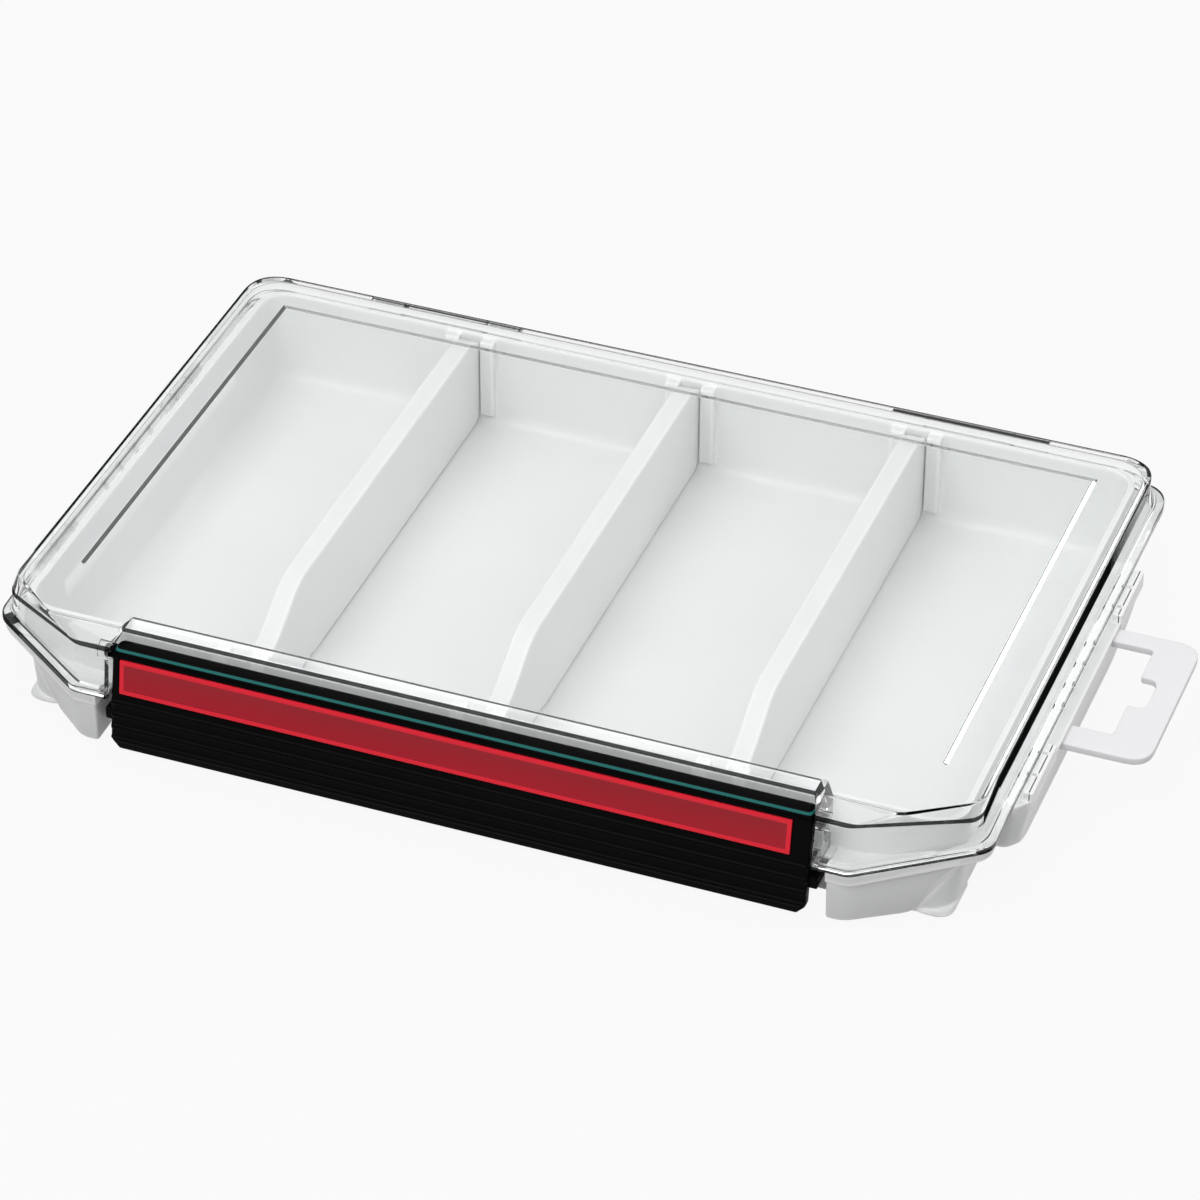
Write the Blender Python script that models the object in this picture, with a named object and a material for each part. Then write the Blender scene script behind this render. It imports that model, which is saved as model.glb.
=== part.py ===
# Tackle case: pale tub, clear hinged lid, full-width front latch, three dividers, hang tab.
# Metres. +Z up, +Y towards the hinge. The origin is the middle of the tub's flat underside.
import math

import bmesh
import bpy
from mathutils import Vector

# Heights
FLOOR_TOP = 0.0023
LID_TOP = 0.0270
LID_TOP_THICK = 0.0015
LID_CEILING = LID_TOP - LID_TOP_THICK
TUB_WALL_TOP = LID_CEILING - 0.0020
SEAM_SIDE = 0.0177
SEAM_CORNER = 0.0169
SEAM_FRONT = 0.0134
PIECE_GAP = 0.0003
SEAM_GAP = 0.00035
RIM_UNDER_SIDE = 0.0158
RIM_UNDER_CORNER = 0.0150
RIM_UNDER_FRONT = 0.0106
POD_BOTTOM = 0.0015

# Lid outline, half widths and Y stations
LID_EDGE_HALF = 0.1025
LID_EDGE_BACK = 0.0665
LID_EDGE_CORNER_Y = -0.0575
CHAMFER_WIDE = 0.0215
LID_EDGE_FRONT_HALF = LID_EDGE_HALF - CHAMFER_WIDE
LID_EDGE_FRONT = -0.0683
LID_EDGE_SIDE_Z = LID_TOP - 0.0005
LID_EDGE_FRONT_Z = LID_TOP - 0.0027
LID_EDGE_NOTCH_Z = LID_TOP - 0.0021
POD_WIDE = 0.0069
LID_NOTCH_HALF = LID_EDGE_FRONT_HALF - POD_WIDE
NOTCH_SHIFT = -0.0013
LID_NOTCH_Y = -0.0625
LID_EDGE_NOTCH_Y = LID_NOTCH_Y + 0.0008
LID_TOP_ROUND = 0.0004
LID_TOP_HALF = LID_EDGE_HALF - LID_TOP_ROUND
LID_TOP_BACK = LID_EDGE_BACK - LID_TOP_ROUND
LID_TOP_CORNER_Y = LID_EDGE_CORNER_Y + 0.0025
LID_TOP_FRONT_HALF = LID_EDGE_FRONT_HALF + 0.0090
LID_TOP_FRONT = LID_EDGE_FRONT + 0.0044
LID_TOP_NOTCH_HALF = LID_NOTCH_HALF - 0.0017
LID_TOP_NOTCH_Y = LID_NOTCH_Y + 0.0029
LID_FLARE = 0.0017
LID_SEAM_HALF = LID_EDGE_HALF + LID_FLARE
LID_SEAM_BACK = LID_EDGE_BACK + LID_FLARE
LID_SEAM_CORNER_Y = LID_EDGE_CORNER_Y + 0.0005
LID_SEAM_FRONT_HALF = LID_EDGE_FRONT_HALF + 0.0003
LID_SEAM_FRONT = LID_EDGE_FRONT - 0.0012
SIDE_BREAK_Y = -0.0455
LID_WALL = 0.0013
LID_INNER_BREAK = 0.0037
LID_UPRIGHT = 0.0033
FLANGE_OUT = 0.0009
FLANGE_TALL = 0.0016
FLANGE_BLEND = 0.0006
BACK_CORNER_CUT = 0.0080
FRONT_CORNER_CUT = 0.0025
POD_CORNER_CUT = 0.0012
LID_RIB_HALF = LID_EDGE_HALF - 0.0106
LID_RIB_BACK = LID_EDGE_BACK - 0.0099
LID_RIB_FRONT = LID_EDGE_CORNER_Y + 0.0120
LID_RIB_WIDE = 0.0006
LID_RIB_DEEP = 0.0004

# Tub
LID_GAP_SIDE = 0.0018
LID_GAP_BACK = 0.0004
LID_GAP_FRONT = 0.0005
TUB_WALL_HALF = LID_EDGE_HALF - LID_WALL - LID_GAP_SIDE
TUB_WALL_BACK = LID_EDGE_BACK - LID_WALL - LID_GAP_BACK
TUB_WALL_FRONT = LID_EDGE_NOTCH_Y + LID_WALL + LID_GAP_FRONT
TUB_FRONT = LID_NOTCH_Y + LID_WALL + LID_GAP_FRONT
TUB_SHOULDER_HALF = TUB_WALL_HALF + 0.0002
TUB_SHOULDER_BACK = TUB_WALL_BACK + 0.0003
TUB_BOTTOM_HALF = TUB_WALL_HALF - 0.0012
TUB_BOTTOM_BACK = TUB_WALL_BACK - 0.0003
TUB_BOTTOM_CUT = 0.0070
TUB_SHOULDER_CUT = 0.0110
TUB_WALL_CUT = 0.0120
TUB_BACK_CUT = 0.0070
TUB_TOE = 0.0012
TUB_WALL = 0.0014
TUB_END_WALL = 0.0011
CAVITY_TOP_HALF = TUB_WALL_HALF - TUB_WALL
CAVITY_TOP_BACK = TUB_WALL_BACK - TUB_END_WALL
CAVITY_TOP_FRONT = TUB_WALL_FRONT + TUB_END_WALL
CAVITY_DRAFT = 0.0020
CAVITY_END_DRAFT = 0.0006
CAVITY_FRONT_DRAFT = 0.0010
CAVITY_FLOOR_HALF = CAVITY_TOP_HALF - CAVITY_DRAFT
CAVITY_FLOOR_BACK = CAVITY_TOP_BACK - CAVITY_END_DRAFT
CAVITY_FLOOR_FRONT = CAVITY_TOP_FRONT + CAVITY_FRONT_DRAFT
CAVITY_CUT = 0.0060
CAVITY_FRONT_CUT = 0.0110
CAVITY_FILLET = 0.0040
RIM_BAND = 0.0022
RIM_HALF = LID_SEAM_HALF + 0.0004
RIM_BACK = LID_SEAM_BACK + 0.0006
RIM_CORNER_Y = LID_SEAM_CORNER_Y - 0.0003
RIM_FRONT_HALF = LID_SEAM_FRONT_HALF + 0.0004
RIM_FRONT = LID_SEAM_FRONT - 0.0003
COLUMN_HALF = LID_NOTCH_HALF + 0.0028
LIP_Y = LID_NOTCH_Y - 0.0020
POD_SET = 0.0002
POD_FRONT = RIM_FRONT + POD_SET
POD_OUTER_HALF = RIM_FRONT_HALF - 0.0009
POD_SIDE_HALF = TUB_BOTTOM_HALF - 0.0067
POD_SIDE_Y = TUB_FRONT - 0.0007
POD_TOP_SIDE_HALF = RIM_HALF - 0.0040
POD_TOP_SIDE_Y = RIM_CORNER_Y - 0.0015
SKIRT_WALL = 0.0016
POCKET_ROOF = 0.0022
FOOT_LIFT = 0.0002
FOOT_WIDE = 0.0079
FOOT_LONG = 0.0129
FOOT_PROUD = 0.0004
FOOT_TALL = 0.0050
FOOT_CUT = 0.0020
FOOT_FRONT_CUT = 0.0035

# Side ears
EAR_OUT = RIM_HALF + 0.0031
EAR_DRAFT = 0.0033
EAR_BOTTOM_OUT = EAR_OUT - EAR_DRAFT
EAR_BOTTOM = 0.0010
EAR_BACK = 0.0385
EAR_FRONT = -0.0400
EAR_SLOPE = 0.0030
EAR_ROUND = 0.0110
EAR_TALL = SEAM_SIDE + 0.0014
EAR_INNER = LID_SEAM_HALF + FLANGE_OUT + 0.0005
EAR_LUG_LONG = 0.0165
SLIT_WIDE = 0.0008
SLIT_FROM_END = 0.0062
SLIT_PITCH = 0.0072
SLIT_YS = (EAR_BACK - SLIT_FROM_END, EAR_BACK - SLIT_FROM_END - SLIT_PITCH,
           EAR_FRONT + SLIT_FROM_END, EAR_FRONT + SLIT_FROM_END + SLIT_PITCH)
DOT_PITCH = 0.0073
DOT_MIDDLE = 0.0008
DOT_YS = [DOT_MIDDLE + DOT_PITCH * step for step in (-1.5, -0.5, 0.5, 1.5)]
DOT_WIDE = 0.0013
DOT_DEEP = 0.0006
EAR_INNER_WALL = 0.0014

# Dividers and their slots
DIVIDER_PITCH = 0.0507
DIVIDER_HALF = 0.0022
DIVIDER_WALL = 0.0011
DIVIDER_TOP = LID_CEILING - LID_RIB_DEEP - 0.00045
DIVIDER_BACK = CAVITY_FLOOR_BACK - PIECE_GAP
DIVIDER_BACK_FLAT = DIVIDER_BACK - 0.0044
DIVIDER_BACK_Z = DIVIDER_TOP - 0.00245
DIVIDER_FRONT = CAVITY_FLOOR_FRONT + 0.0007
DIVIDER_FRONT_FLAT = DIVIDER_FRONT + 0.0226
DIVIDER_SLOPE_Y = DIVIDER_FRONT + 0.0131
DIVIDER_SLOPE_Z = DIVIDER_TOP - 0.00615
DIVIDER_FRONT_Z = DIVIDER_TOP - 0.01165
POST_WIDE = 0.0031
POST_FACE_BACK = CAVITY_TOP_BACK - 0.0022
POST_FACE_FRONT = CAVITY_TOP_FRONT + 0.0023
POST_ROUND = 0.0012
POST_LIFT = 0.0016
POST_CHAMFER = 0.0004
DIVIDER_TOE = 0.0026
DIVIDER_TOE_LONG = 0.0022
DIVIDER_HEEL = 0.0030

# Hinge
HINGE_FROM_END = 0.0255
HINGE_LONG = 0.0340
HINGE_OUTER = LID_EDGE_HALF - HINGE_FROM_END
HINGE_INNER = HINGE_OUTER - HINGE_LONG
HINGE_Y = LID_SEAM_BACK + 0.0013
HINGE_Z = SEAM_SIDE - 0.0013
KNUCKLE_RADIUS = 0.0023
PIN_RADIUS = 0.0010
BORE_RADIUS = PIN_RADIUS + PIECE_GAP
KNUCKLE_CLEARANCE = KNUCKLE_RADIUS + 0.00035
LID_KNUCKLE_INNER = HINGE_INNER + 0.0070
LID_KNUCKLE_OUTER = HINGE_OUTER - 0.0070
PIN_INSET = 0.0006
WEB_THICK = 0.0023
WEB_TALL = 0.0038

# Latch
LATCH_BEAD = 0.0025
LATCH_Y = LID_NOTCH_Y - LATCH_BEAD - 0.0004
LATCH_Z = LID_EDGE_NOTCH_Z - LATCH_BEAD - 0.0002
LATCH_HALF = LID_NOTCH_HALF - 0.0006
LATCH_SLOPE = 0.1386
LATCH_THICK = 0.0020
LATCH_BOW = 0.00015
LATCH_BOTTOM = 0.0020
LATCH_CORNER_CUT = 0.0018
LATCH_TOP_CUT = 0.0015
LATCH_BACK_START = 0.0038
LATCH_TIP_ROUND = 0.0006
STUB_RADIUS = 0.0015
STUB_HALF = LID_NOTCH_HALF + 0.0016
STUB_HOLE = STUB_RADIUS + PIECE_GAP
HOOK_Y = LIP_Y + 0.0015
HOOK_HALF = COLUMN_HALF - 0.0017
HOOK_TOP = RIM_UNDER_FRONT - 0.0004
HOOK_UNDER = HOOK_TOP - 0.0026
RIB_ZS = (0.0126, 0.0098, 0.0070, 0.0042)
RIB_OUT = 0.00045
RIB_HALF_TALL = 0.0007
HOOK_ROOT = 0.0008
HOOK_ROUND = 0.0004
HOOK_LEAD = 0.0010
STRIP_HALF = LATCH_HALF - 0.0029
STRIP_SHIFT = NOTCH_SHIFT - 0.0011
STRIP_TOP = LATCH_Z
STRIP_BOTTOM = STRIP_TOP - 0.0074
STRIP_RECESS = 0.0008
STRIP_THICK = 0.0007

# Hang tab
TAB_ROOT = EAR_OUT - 0.0023
TAB_OUT = EAR_OUT + 0.0173
TAB_BACK = 0.0215
TAB_FRONT = -0.0190
TAB_UNDER = SEAM_SIDE - 0.0030
TAB_THICK = 0.0016
TAB_CORNER = 0.0050
TAB_SLOT_BACK = TAB_BACK - 0.0045
TAB_SLOT_FRONT = TAB_FRONT + 0.0065
TAB_SLOT_OUT = EAR_OUT + 0.0083
TAB_BUMP_OUT = TAB_SLOT_OUT + 0.0037
TAB_BUMP_BACK = 0.0074
TAB_BUMP_FRONT = -0.0024
TAB_SLOT_CUT = 0.0012
TAB_BUMP_CUT = 0.0030

ARC_STEPS = 6
ROUND_SIDES = 24
OVERSHOOT = 0.0010


def clear_scene():
    for item in list(bpy.data.objects):
        bpy.data.objects.remove(item, do_unlink=True)


def plastic(name, colour, roughness, metallic=0.0, alpha=1.0):
    material = bpy.data.materials.new(name)
    material.use_nodes = True
    shader = material.node_tree.nodes["Principled BSDF"]
    shader.inputs["Base Color"].default_value = (*colour, 1.0)
    shader.inputs["Roughness"].default_value = roughness
    shader.inputs["Metallic"].default_value = metallic
    shader.inputs["Alpha"].default_value = alpha
    return material


def to_object(name, bm):
    bmesh.ops.recalc_face_normals(bm, faces=bm.faces)
    mesh = bpy.data.meshes.new(name)
    bm.to_mesh(mesh)
    bm.free()
    item = bpy.data.objects.new(name, mesh)
    bpy.context.scene.collection.objects.link(item)
    return item


# A corner is x, y, z and the length cut from its two sides. A cut corner becomes the curve
# (1-t)^2 a + 2t(1-t) c + t^2 b between the cut ends a and b, with c the corner itself.
def outline(corners):
    points = []
    for index, (x, y, z, cut) in enumerate(corners):
        here = Vector((x, y, z))
        if cut == 0:
            points.append(here)
            continue
        before = Vector(corners[index - 1][:3])
        after = Vector(corners[(index + 1) % len(corners)][:3])
        start = here + (before - here).normalized() * cut
        end = here + (after - here).normalized() * cut
        for step in range(ARC_STEPS + 1):
            t = step / ARC_STEPS
            points.append(start * (1 - t) ** 2 + here * (2 * t * (1 - t)) + end * t ** 2)
    return points


# The corners of the right half and their mirror images. Those in the second list, at the front,
# move sideways together.
def both_sides(half, front=()):
    mirrored = [(-x, y, z, cut) for x, y, z, cut in reversed(half)]
    right = [(x + NOTCH_SHIFT, y, z, cut) for x, y, z, cut in front]
    left = [(NOTCH_SHIFT - x, y, z, cut) for x, y, z, cut in reversed(front)]
    return half + right + left + mirrored


# Rings of equal length are joined in order, and the first and last are closed by a cap,
# which is split into triangles where it isn't flat.
def loft(name, rings, flat_caps=True):
    bm = bmesh.new()
    loops = [[bm.verts.new(point) for point in ring] for ring in rings]
    for lower, upper in zip(loops, loops[1:]):
        for index in range(len(lower)):
            after = (index + 1) % len(lower)
            bm.faces.new((lower[index], lower[after], upper[after], upper[index]))
    caps = [bm.faces.new(loops[0]), bm.faces.new(loops[-1])]
    if not flat_caps:
        bmesh.ops.triangulate(bm, faces=caps)
    return to_object(name, bm)


def prism_x(name, low, high, section):
    rings = [[(x, y, z) for y, z in section] for x in (low, high)]
    return loft(name, rings)


def prism_z(name, low, high, section):
    rings = [[(x, y, z) for x, y in section] for z in (low, high)]
    return loft(name, rings)


def block(name, low, high):
    section = [(low[1], low[2]), (high[1], low[2]), (high[1], high[2]), (low[1], high[2])]
    return prism_x(name, low[0], high[0], section)


def round_x(name, low, high, y, z, radius):
    turns = [2 * math.pi * side / ROUND_SIDES for side in range(ROUND_SIDES)]
    section = [(y + radius * math.cos(turn), z + radius * math.sin(turn)) for turn in turns]
    return prism_x(name, low, high, section)


# Each tool is added to or cut from the target, in order, and then removed.
def shape(target, steps):
    for operation, tool in steps:
        modifier = target.modifiers.new(tool.name, "BOOLEAN")
        modifier.operation = operation
        modifier.solver = "EXACT"
        modifier.object = tool
    graph = bpy.context.evaluated_depsgraph_get()
    shaped = bpy.data.meshes.new_from_object(target.evaluated_get(graph))
    target.modifiers.clear()
    target.data = shaped
    for _, tool in steps:
        bpy.data.objects.remove(tool, do_unlink=True)
    bm = bmesh.new()
    bm.from_mesh(shaped)
    bmesh.ops.remove_doubles(bm, verts=bm.verts, dist=0.000002)
    bmesh.ops.dissolve_limit(bm, angle_limit=0.001, verts=bm.verts, edges=bm.edges)
    bmesh.ops.triangulate(bm, faces=bm.faces)
    bm.to_mesh(shaped)
    bm.free()


# The mesh moves so that the object's origin lies at the given point.
def set_origin(item, point):
    for vertex in item.data.vertices:
        vertex.co -= Vector(point)
    item.location = point


def smooth(item, angle):
    item.data.shade_smooth()
    item.data.set_sharp_from_angle(angle=angle)


def finish(item, material):
    item.data.materials.clear()
    item.data.materials.append(material)
    smooth(item, math.radians(32))


# The lid's corners at one level, pulled in by inset: side back, side break, corner, pod
# front, notch outer, notch inner.
def lid_ring(half, back, corner_y, front_half, front, notch_half, notch_y, heights, inset):
    side_z, corner_z, front_z, notch_z = heights
    slant = inset * 0.6
    cheek = notch_half + inset
    return outline(both_sides([
        (half - inset, back - inset, side_z, BACK_CORNER_CUT),
        (half - inset, SIDE_BREAK_Y, side_z, 0),
        (half - inset, corner_y + slant, corner_z, FRONT_CORNER_CUT),
    ], [
        (front_half - slant * 0.5, front + inset, front_z, POD_CORNER_CUT),
        (cheek, front + inset, front_z, 0),
        (cheek, notch_y + inset, notch_z, 0),
    ]))


def seam_ring(lift, outward, inset):
    heights = [SEAM_SIDE + lift, SEAM_CORNER + lift, SEAM_FRONT + lift, SEAM_FRONT + lift]
    return lid_ring(
        LID_SEAM_HALF + outward, LID_SEAM_BACK + outward, LID_SEAM_CORNER_Y - outward * 0.5,
        LID_SEAM_FRONT_HALF + outward * 0.5, LID_SEAM_FRONT - outward,
        LID_NOTCH_HALF, LID_NOTCH_Y, heights, inset)


# The notch's own wall keeps its lean at every drop; the other walls go straight down.
def edge_ring(inset, drop):
    heights = [LID_EDGE_SIDE_Z - drop, LID_EDGE_FRONT_Z - drop,
               LID_EDGE_FRONT_Z - drop, LID_EDGE_NOTCH_Z - drop]
    lean = (LID_EDGE_NOTCH_Y - LID_NOTCH_Y) / (LID_EDGE_NOTCH_Z - SEAM_FRONT)
    return lid_ring(
        LID_EDGE_HALF, LID_EDGE_BACK, LID_EDGE_CORNER_Y, LID_EDGE_FRONT_HALF, LID_EDGE_FRONT,
        LID_NOTCH_HALF, LID_EDGE_NOTCH_Y - lean * drop, heights, inset)


def top_ring(height, inset):
    return lid_ring(
        LID_TOP_HALF, LID_TOP_BACK, LID_TOP_CORNER_Y, LID_TOP_FRONT_HALF, LID_TOP_FRONT,
        LID_TOP_NOTCH_HALF, LID_TOP_NOTCH_Y, [height] * 4, inset)


def make_lid(material):
    rings = [
        top_ring(LID_CEILING, LID_WALL * 0.8),
        edge_ring(LID_WALL, LID_TOP_THICK),
        edge_ring(LID_WALL, LID_TOP_THICK + LID_INNER_BREAK),
        seam_ring(0, 0, LID_WALL),
        seam_ring(0, FLANGE_OUT, 0),
        seam_ring(FLANGE_TALL, FLANGE_OUT, 0),
        seam_ring(FLANGE_TALL + FLANGE_BLEND, 0, 0),
        edge_ring(0, LID_UPRIGHT),
        edge_ring(0, 0),
        top_ring(LID_TOP, 0),
    ]
    lid = loft("lid", rings)
    steps = []
    rib_low = LID_CEILING - LID_RIB_DEEP
    rib_high = LID_CEILING + LID_RIB_DEEP
    inner = LID_RIB_HALF - LID_RIB_WIDE
    arms = [(-LID_RIB_HALF, LID_RIB_FRONT), (-LID_RIB_HALF, LID_RIB_BACK),
            (LID_RIB_HALF, LID_RIB_BACK), (LID_RIB_HALF, LID_RIB_FRONT),
            (inner, LID_RIB_FRONT), (inner, LID_RIB_BACK - LID_RIB_WIDE),
            (-inner, LID_RIB_BACK - LID_RIB_WIDE), (-inner, LID_RIB_FRONT)]
    steps.append(("UNION", prism_z("rib", rib_low, rib_high, arms)))
    for side in (-1, 1):
        low, high = sorted((side * (LID_KNUCKLE_INNER + PIECE_GAP),
                            side * (LID_KNUCKLE_OUTER - PIECE_GAP)))
        web = block("web", (low, HINGE_Y - WEB_THICK, HINGE_Z + PIECE_GAP),
                    (high, HINGE_Y, HINGE_Z + PIECE_GAP + WEB_TALL))
        steps.append(("UNION", web))
        steps.append(("UNION", round_x("knuckle", low, high, HINGE_Y, HINGE_Z, KNUCKLE_RADIUS)))
        for inner, outer in ((HINGE_INNER, LID_KNUCKLE_INNER), (LID_KNUCKLE_OUTER, HINGE_OUTER)):
            near, far = sorted((side * (inner - PIECE_GAP), side * (outer + PIECE_GAP)))
            relief = round_x("relief", near, far, HINGE_Y, HINGE_Z, KNUCKLE_CLEARANCE)
            steps.append(("DIFFERENCE", relief))
        near, far = sorted((side * (HINGE_INNER - OVERSHOOT), side * (HINGE_OUTER + OVERSHOOT)))
        steps.append(("DIFFERENCE", round_x("bore", near, far, HINGE_Y, HINGE_Z, BORE_RADIUS)))
        near, far = sorted((NOTCH_SHIFT + side * (LID_NOTCH_HALF - OVERSHOOT),
                            NOTCH_SHIFT + side * COLUMN_HALF))
        steps.append(("DIFFERENCE", round_x("stub_hole", near, far, LATCH_Y, LATCH_Z, STUB_HOLE)))
        edge = LID_SEAM_HALF + FLANGE_OUT
        marks = [(y, DOT_WIDE) for y in DOT_YS] + [(y, SLIT_WIDE) for y in SLIT_YS]
        for y, wide in marks:
            near, far = sorted((side * (edge - DOT_DEEP), side * (edge + 0.002)))
            mark = block("mark", (near, y - wide / 2, SEAM_SIDE - 0.001),
                         (far, y + wide / 2, SEAM_SIDE + 0.0009))
            steps.append(("DIFFERENCE", mark))
    shape(lid, steps)
    finish(lid, material)
    set_origin(lid, (0, HINGE_Y, HINGE_Z))
    return lid


def rim_ring(heights, inset):
    side_z, corner_z, front_z = heights
    column = COLUMN_HALF + inset
    return outline(both_sides([
        (RIM_HALF - inset, RIM_BACK - inset, side_z, BACK_CORNER_CUT),
        (RIM_HALF - inset, SIDE_BREAK_Y, side_z, 0),
        (RIM_HALF - inset, RIM_CORNER_Y + inset * 0.6, corner_z, FRONT_CORNER_CUT),
    ], [
        (RIM_FRONT_HALF - inset * 0.3, RIM_FRONT + inset, front_z, POD_CORNER_CUT),
        (column, RIM_FRONT + inset, front_z, 0),
        (column, LIP_Y + inset, front_z, 0),
    ]))


def tub_ring(half, back, front, z, back_cut, front_cut):
    return outline(both_sides([(half, back, z, back_cut), (half, front, z, front_cut)]))


# One round-cornered level of the hollow; the floor's fillet is a quarter circle, with
# inset r(1 - sin a) at height r(1 - cos a) above the floor.
def cavity_rings():
    rings = []
    for step in range(5):
        angle = math.pi / 2 * step / 4
        inset = CAVITY_FILLET * (1 - math.sin(angle))
        z = FLOOR_TOP + CAVITY_FILLET * (1 - math.cos(angle))
        rings.append(tub_ring(CAVITY_FLOOR_HALF - inset, CAVITY_FLOOR_BACK - inset,
                              CAVITY_FLOOR_FRONT + inset, z, CAVITY_CUT, CAVITY_FRONT_CUT))
    rings.append(tub_ring(CAVITY_TOP_HALF, CAVITY_TOP_BACK, CAVITY_TOP_FRONT,
                          TUB_WALL_TOP + 0.002, CAVITY_CUT, CAVITY_FRONT_CUT))
    return rings


def tub_rings():
    return [
        tub_ring(TUB_BOTTOM_HALF - TUB_TOE, TUB_BOTTOM_BACK - TUB_TOE, TUB_FRONT + TUB_TOE, 0,
                 TUB_BACK_CUT, TUB_BOTTOM_CUT),
        tub_ring(TUB_BOTTOM_HALF, TUB_BOTTOM_BACK, TUB_FRONT, TUB_TOE,
                 TUB_BACK_CUT, TUB_BOTTOM_CUT),
        tub_ring(TUB_SHOULDER_HALF, TUB_SHOULDER_BACK, TUB_FRONT, RIM_UNDER_SIDE,
                 TUB_BACK_CUT, TUB_SHOULDER_CUT),
        tub_ring(TUB_WALL_HALF, TUB_WALL_BACK, TUB_WALL_FRONT, TUB_WALL_TOP,
                 TUB_BACK_CUT, TUB_WALL_CUT),
    ]


# The block under each front corner, with a pocket below that leaves a skirt.
def pod_rings(side, inset, bottom, top_drop):
    column = COLUMN_HALF + POD_SET + inset
    bottom_points = [
        (POD_SIDE_HALF - inset, POD_SIDE_Y + 0.005),
        (POD_SIDE_HALF - inset, POD_SIDE_Y + inset * 0.3),
        (POD_OUTER_HALF - inset * 0.5, POD_FRONT + 0.0004 + inset),
        (column, POD_FRONT + 0.0004 + inset),
        (column, TUB_FRONT + OVERSHOOT),
    ]
    top_points = [
        (POD_TOP_SIDE_HALF - inset, POD_TOP_SIDE_Y + 0.004),
        (POD_TOP_SIDE_HALF - inset, POD_TOP_SIDE_Y + inset * 0.3),
        (RIM_FRONT_HALF - 0.0008 - inset * 0.5, POD_FRONT + inset),
        (column, POD_FRONT + inset),
        (column, TUB_FRONT + OVERSHOOT),
    ]
    top_heights = [RIM_UNDER_CORNER + 0.0006, RIM_UNDER_CORNER + 0.0006, RIM_UNDER_FRONT + 0.0006,
                   RIM_UNDER_FRONT + 0.0006, RIM_UNDER_FRONT + 0.0006]
    shifts = [0, 0, NOTCH_SHIFT, NOTCH_SHIFT, NOTCH_SHIFT]
    low = [(side * x + shift, y, bottom) for (x, y), shift in zip(bottom_points, shifts)]
    high = [(side * x + shift, y, z - top_drop)
            for (x, y), z, shift in zip(top_points, top_heights, shifts)]
    return [low, high]


def foot_ring(side, inset, z):
    far = TUB_BOTTOM_HALF + FOOT_PROUD - inset
    near = TUB_BOTTOM_HALF + FOOT_PROUD - FOOT_WIDE + inset
    front = TUB_FRONT - FOOT_PROUD + inset
    back = TUB_FRONT - FOOT_PROUD + FOOT_LONG - inset
    corners = [(side * near, back, z, FOOT_CUT), (side * far, back, z, FOOT_CUT),
               (side * far, front, z, FOOT_FRONT_CUT), (side * near, front, z, FOOT_CUT)]
    return outline(corners)


# The ear's level: its outer face leans in towards the bottom, and each end is a quarter
# circle of radius EAR_ROUND in side view.
def ear_ring(side, z, inset):
    rise = (z - EAR_BOTTOM) / (SEAM_SIDE - EAR_BOTTOM)
    out = EAR_BOTTOM_OUT + (EAR_OUT - EAR_BOTTOM_OUT) * rise - inset
    lift = min((z - EAR_BOTTOM) / EAR_ROUND, 1.0)
    setback = EAR_ROUND * (1 - math.sqrt(1 - (1 - lift) ** 2))
    back = EAR_BACK - setback - inset
    front = EAR_FRONT + setback + inset
    foot = TUB_BOTTOM_HALF - TUB_WALL
    corners = [(foot, back + EAR_SLOPE), (out - EAR_SLOPE * 0.8, back + EAR_SLOPE),
               (out, back), (out, front), (out - EAR_SLOPE * 0.8, front - EAR_SLOPE),
               (foot, front - EAR_SLOPE)]
    return [(side * x, y, z) for x, y in corners]


def ear_levels(bottom, top, inset, side):
    levels = [bottom]
    for step in range(1, 5):
        angle = math.pi / 2 * step / 4
        level = EAR_BOTTOM + EAR_ROUND * (1 - math.cos(angle))
        if level > bottom:
            levels.append(level)
    levels.append(top)
    return [ear_ring(side, z, inset) for z in levels]


def make_posts():
    steps = []
    post_low = FLOOR_TOP + POST_LIFT
    for middle in (-DIVIDER_PITCH, 0, DIVIDER_PITCH):
        for side in (-1, 1):
            near = middle + side * (DIVIDER_HALF + PIECE_GAP)
            far = near + side * POST_WIDE
            low, high = sorted((near, far))
            for face, wall in ((POST_FACE_BACK, CAVITY_TOP_BACK + 0.0009),
                               (POST_FACE_FRONT, CAVITY_TOP_FRONT - 0.0009)):
                inward = 1 if wall > face else -1
                section = [(face, post_low + POST_ROUND),
                           (face + inward * POST_ROUND, post_low),
                           (wall, post_low),
                           (wall, TUB_WALL_TOP - POST_CHAMFER),
                           (face + inward * POST_CHAMFER, TUB_WALL_TOP - POST_CHAMFER),
                           (face, TUB_WALL_TOP - 2 * POST_CHAMFER)]
                steps.append(("UNION", prism_x("post", low, high, section)))
    return steps


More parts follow.
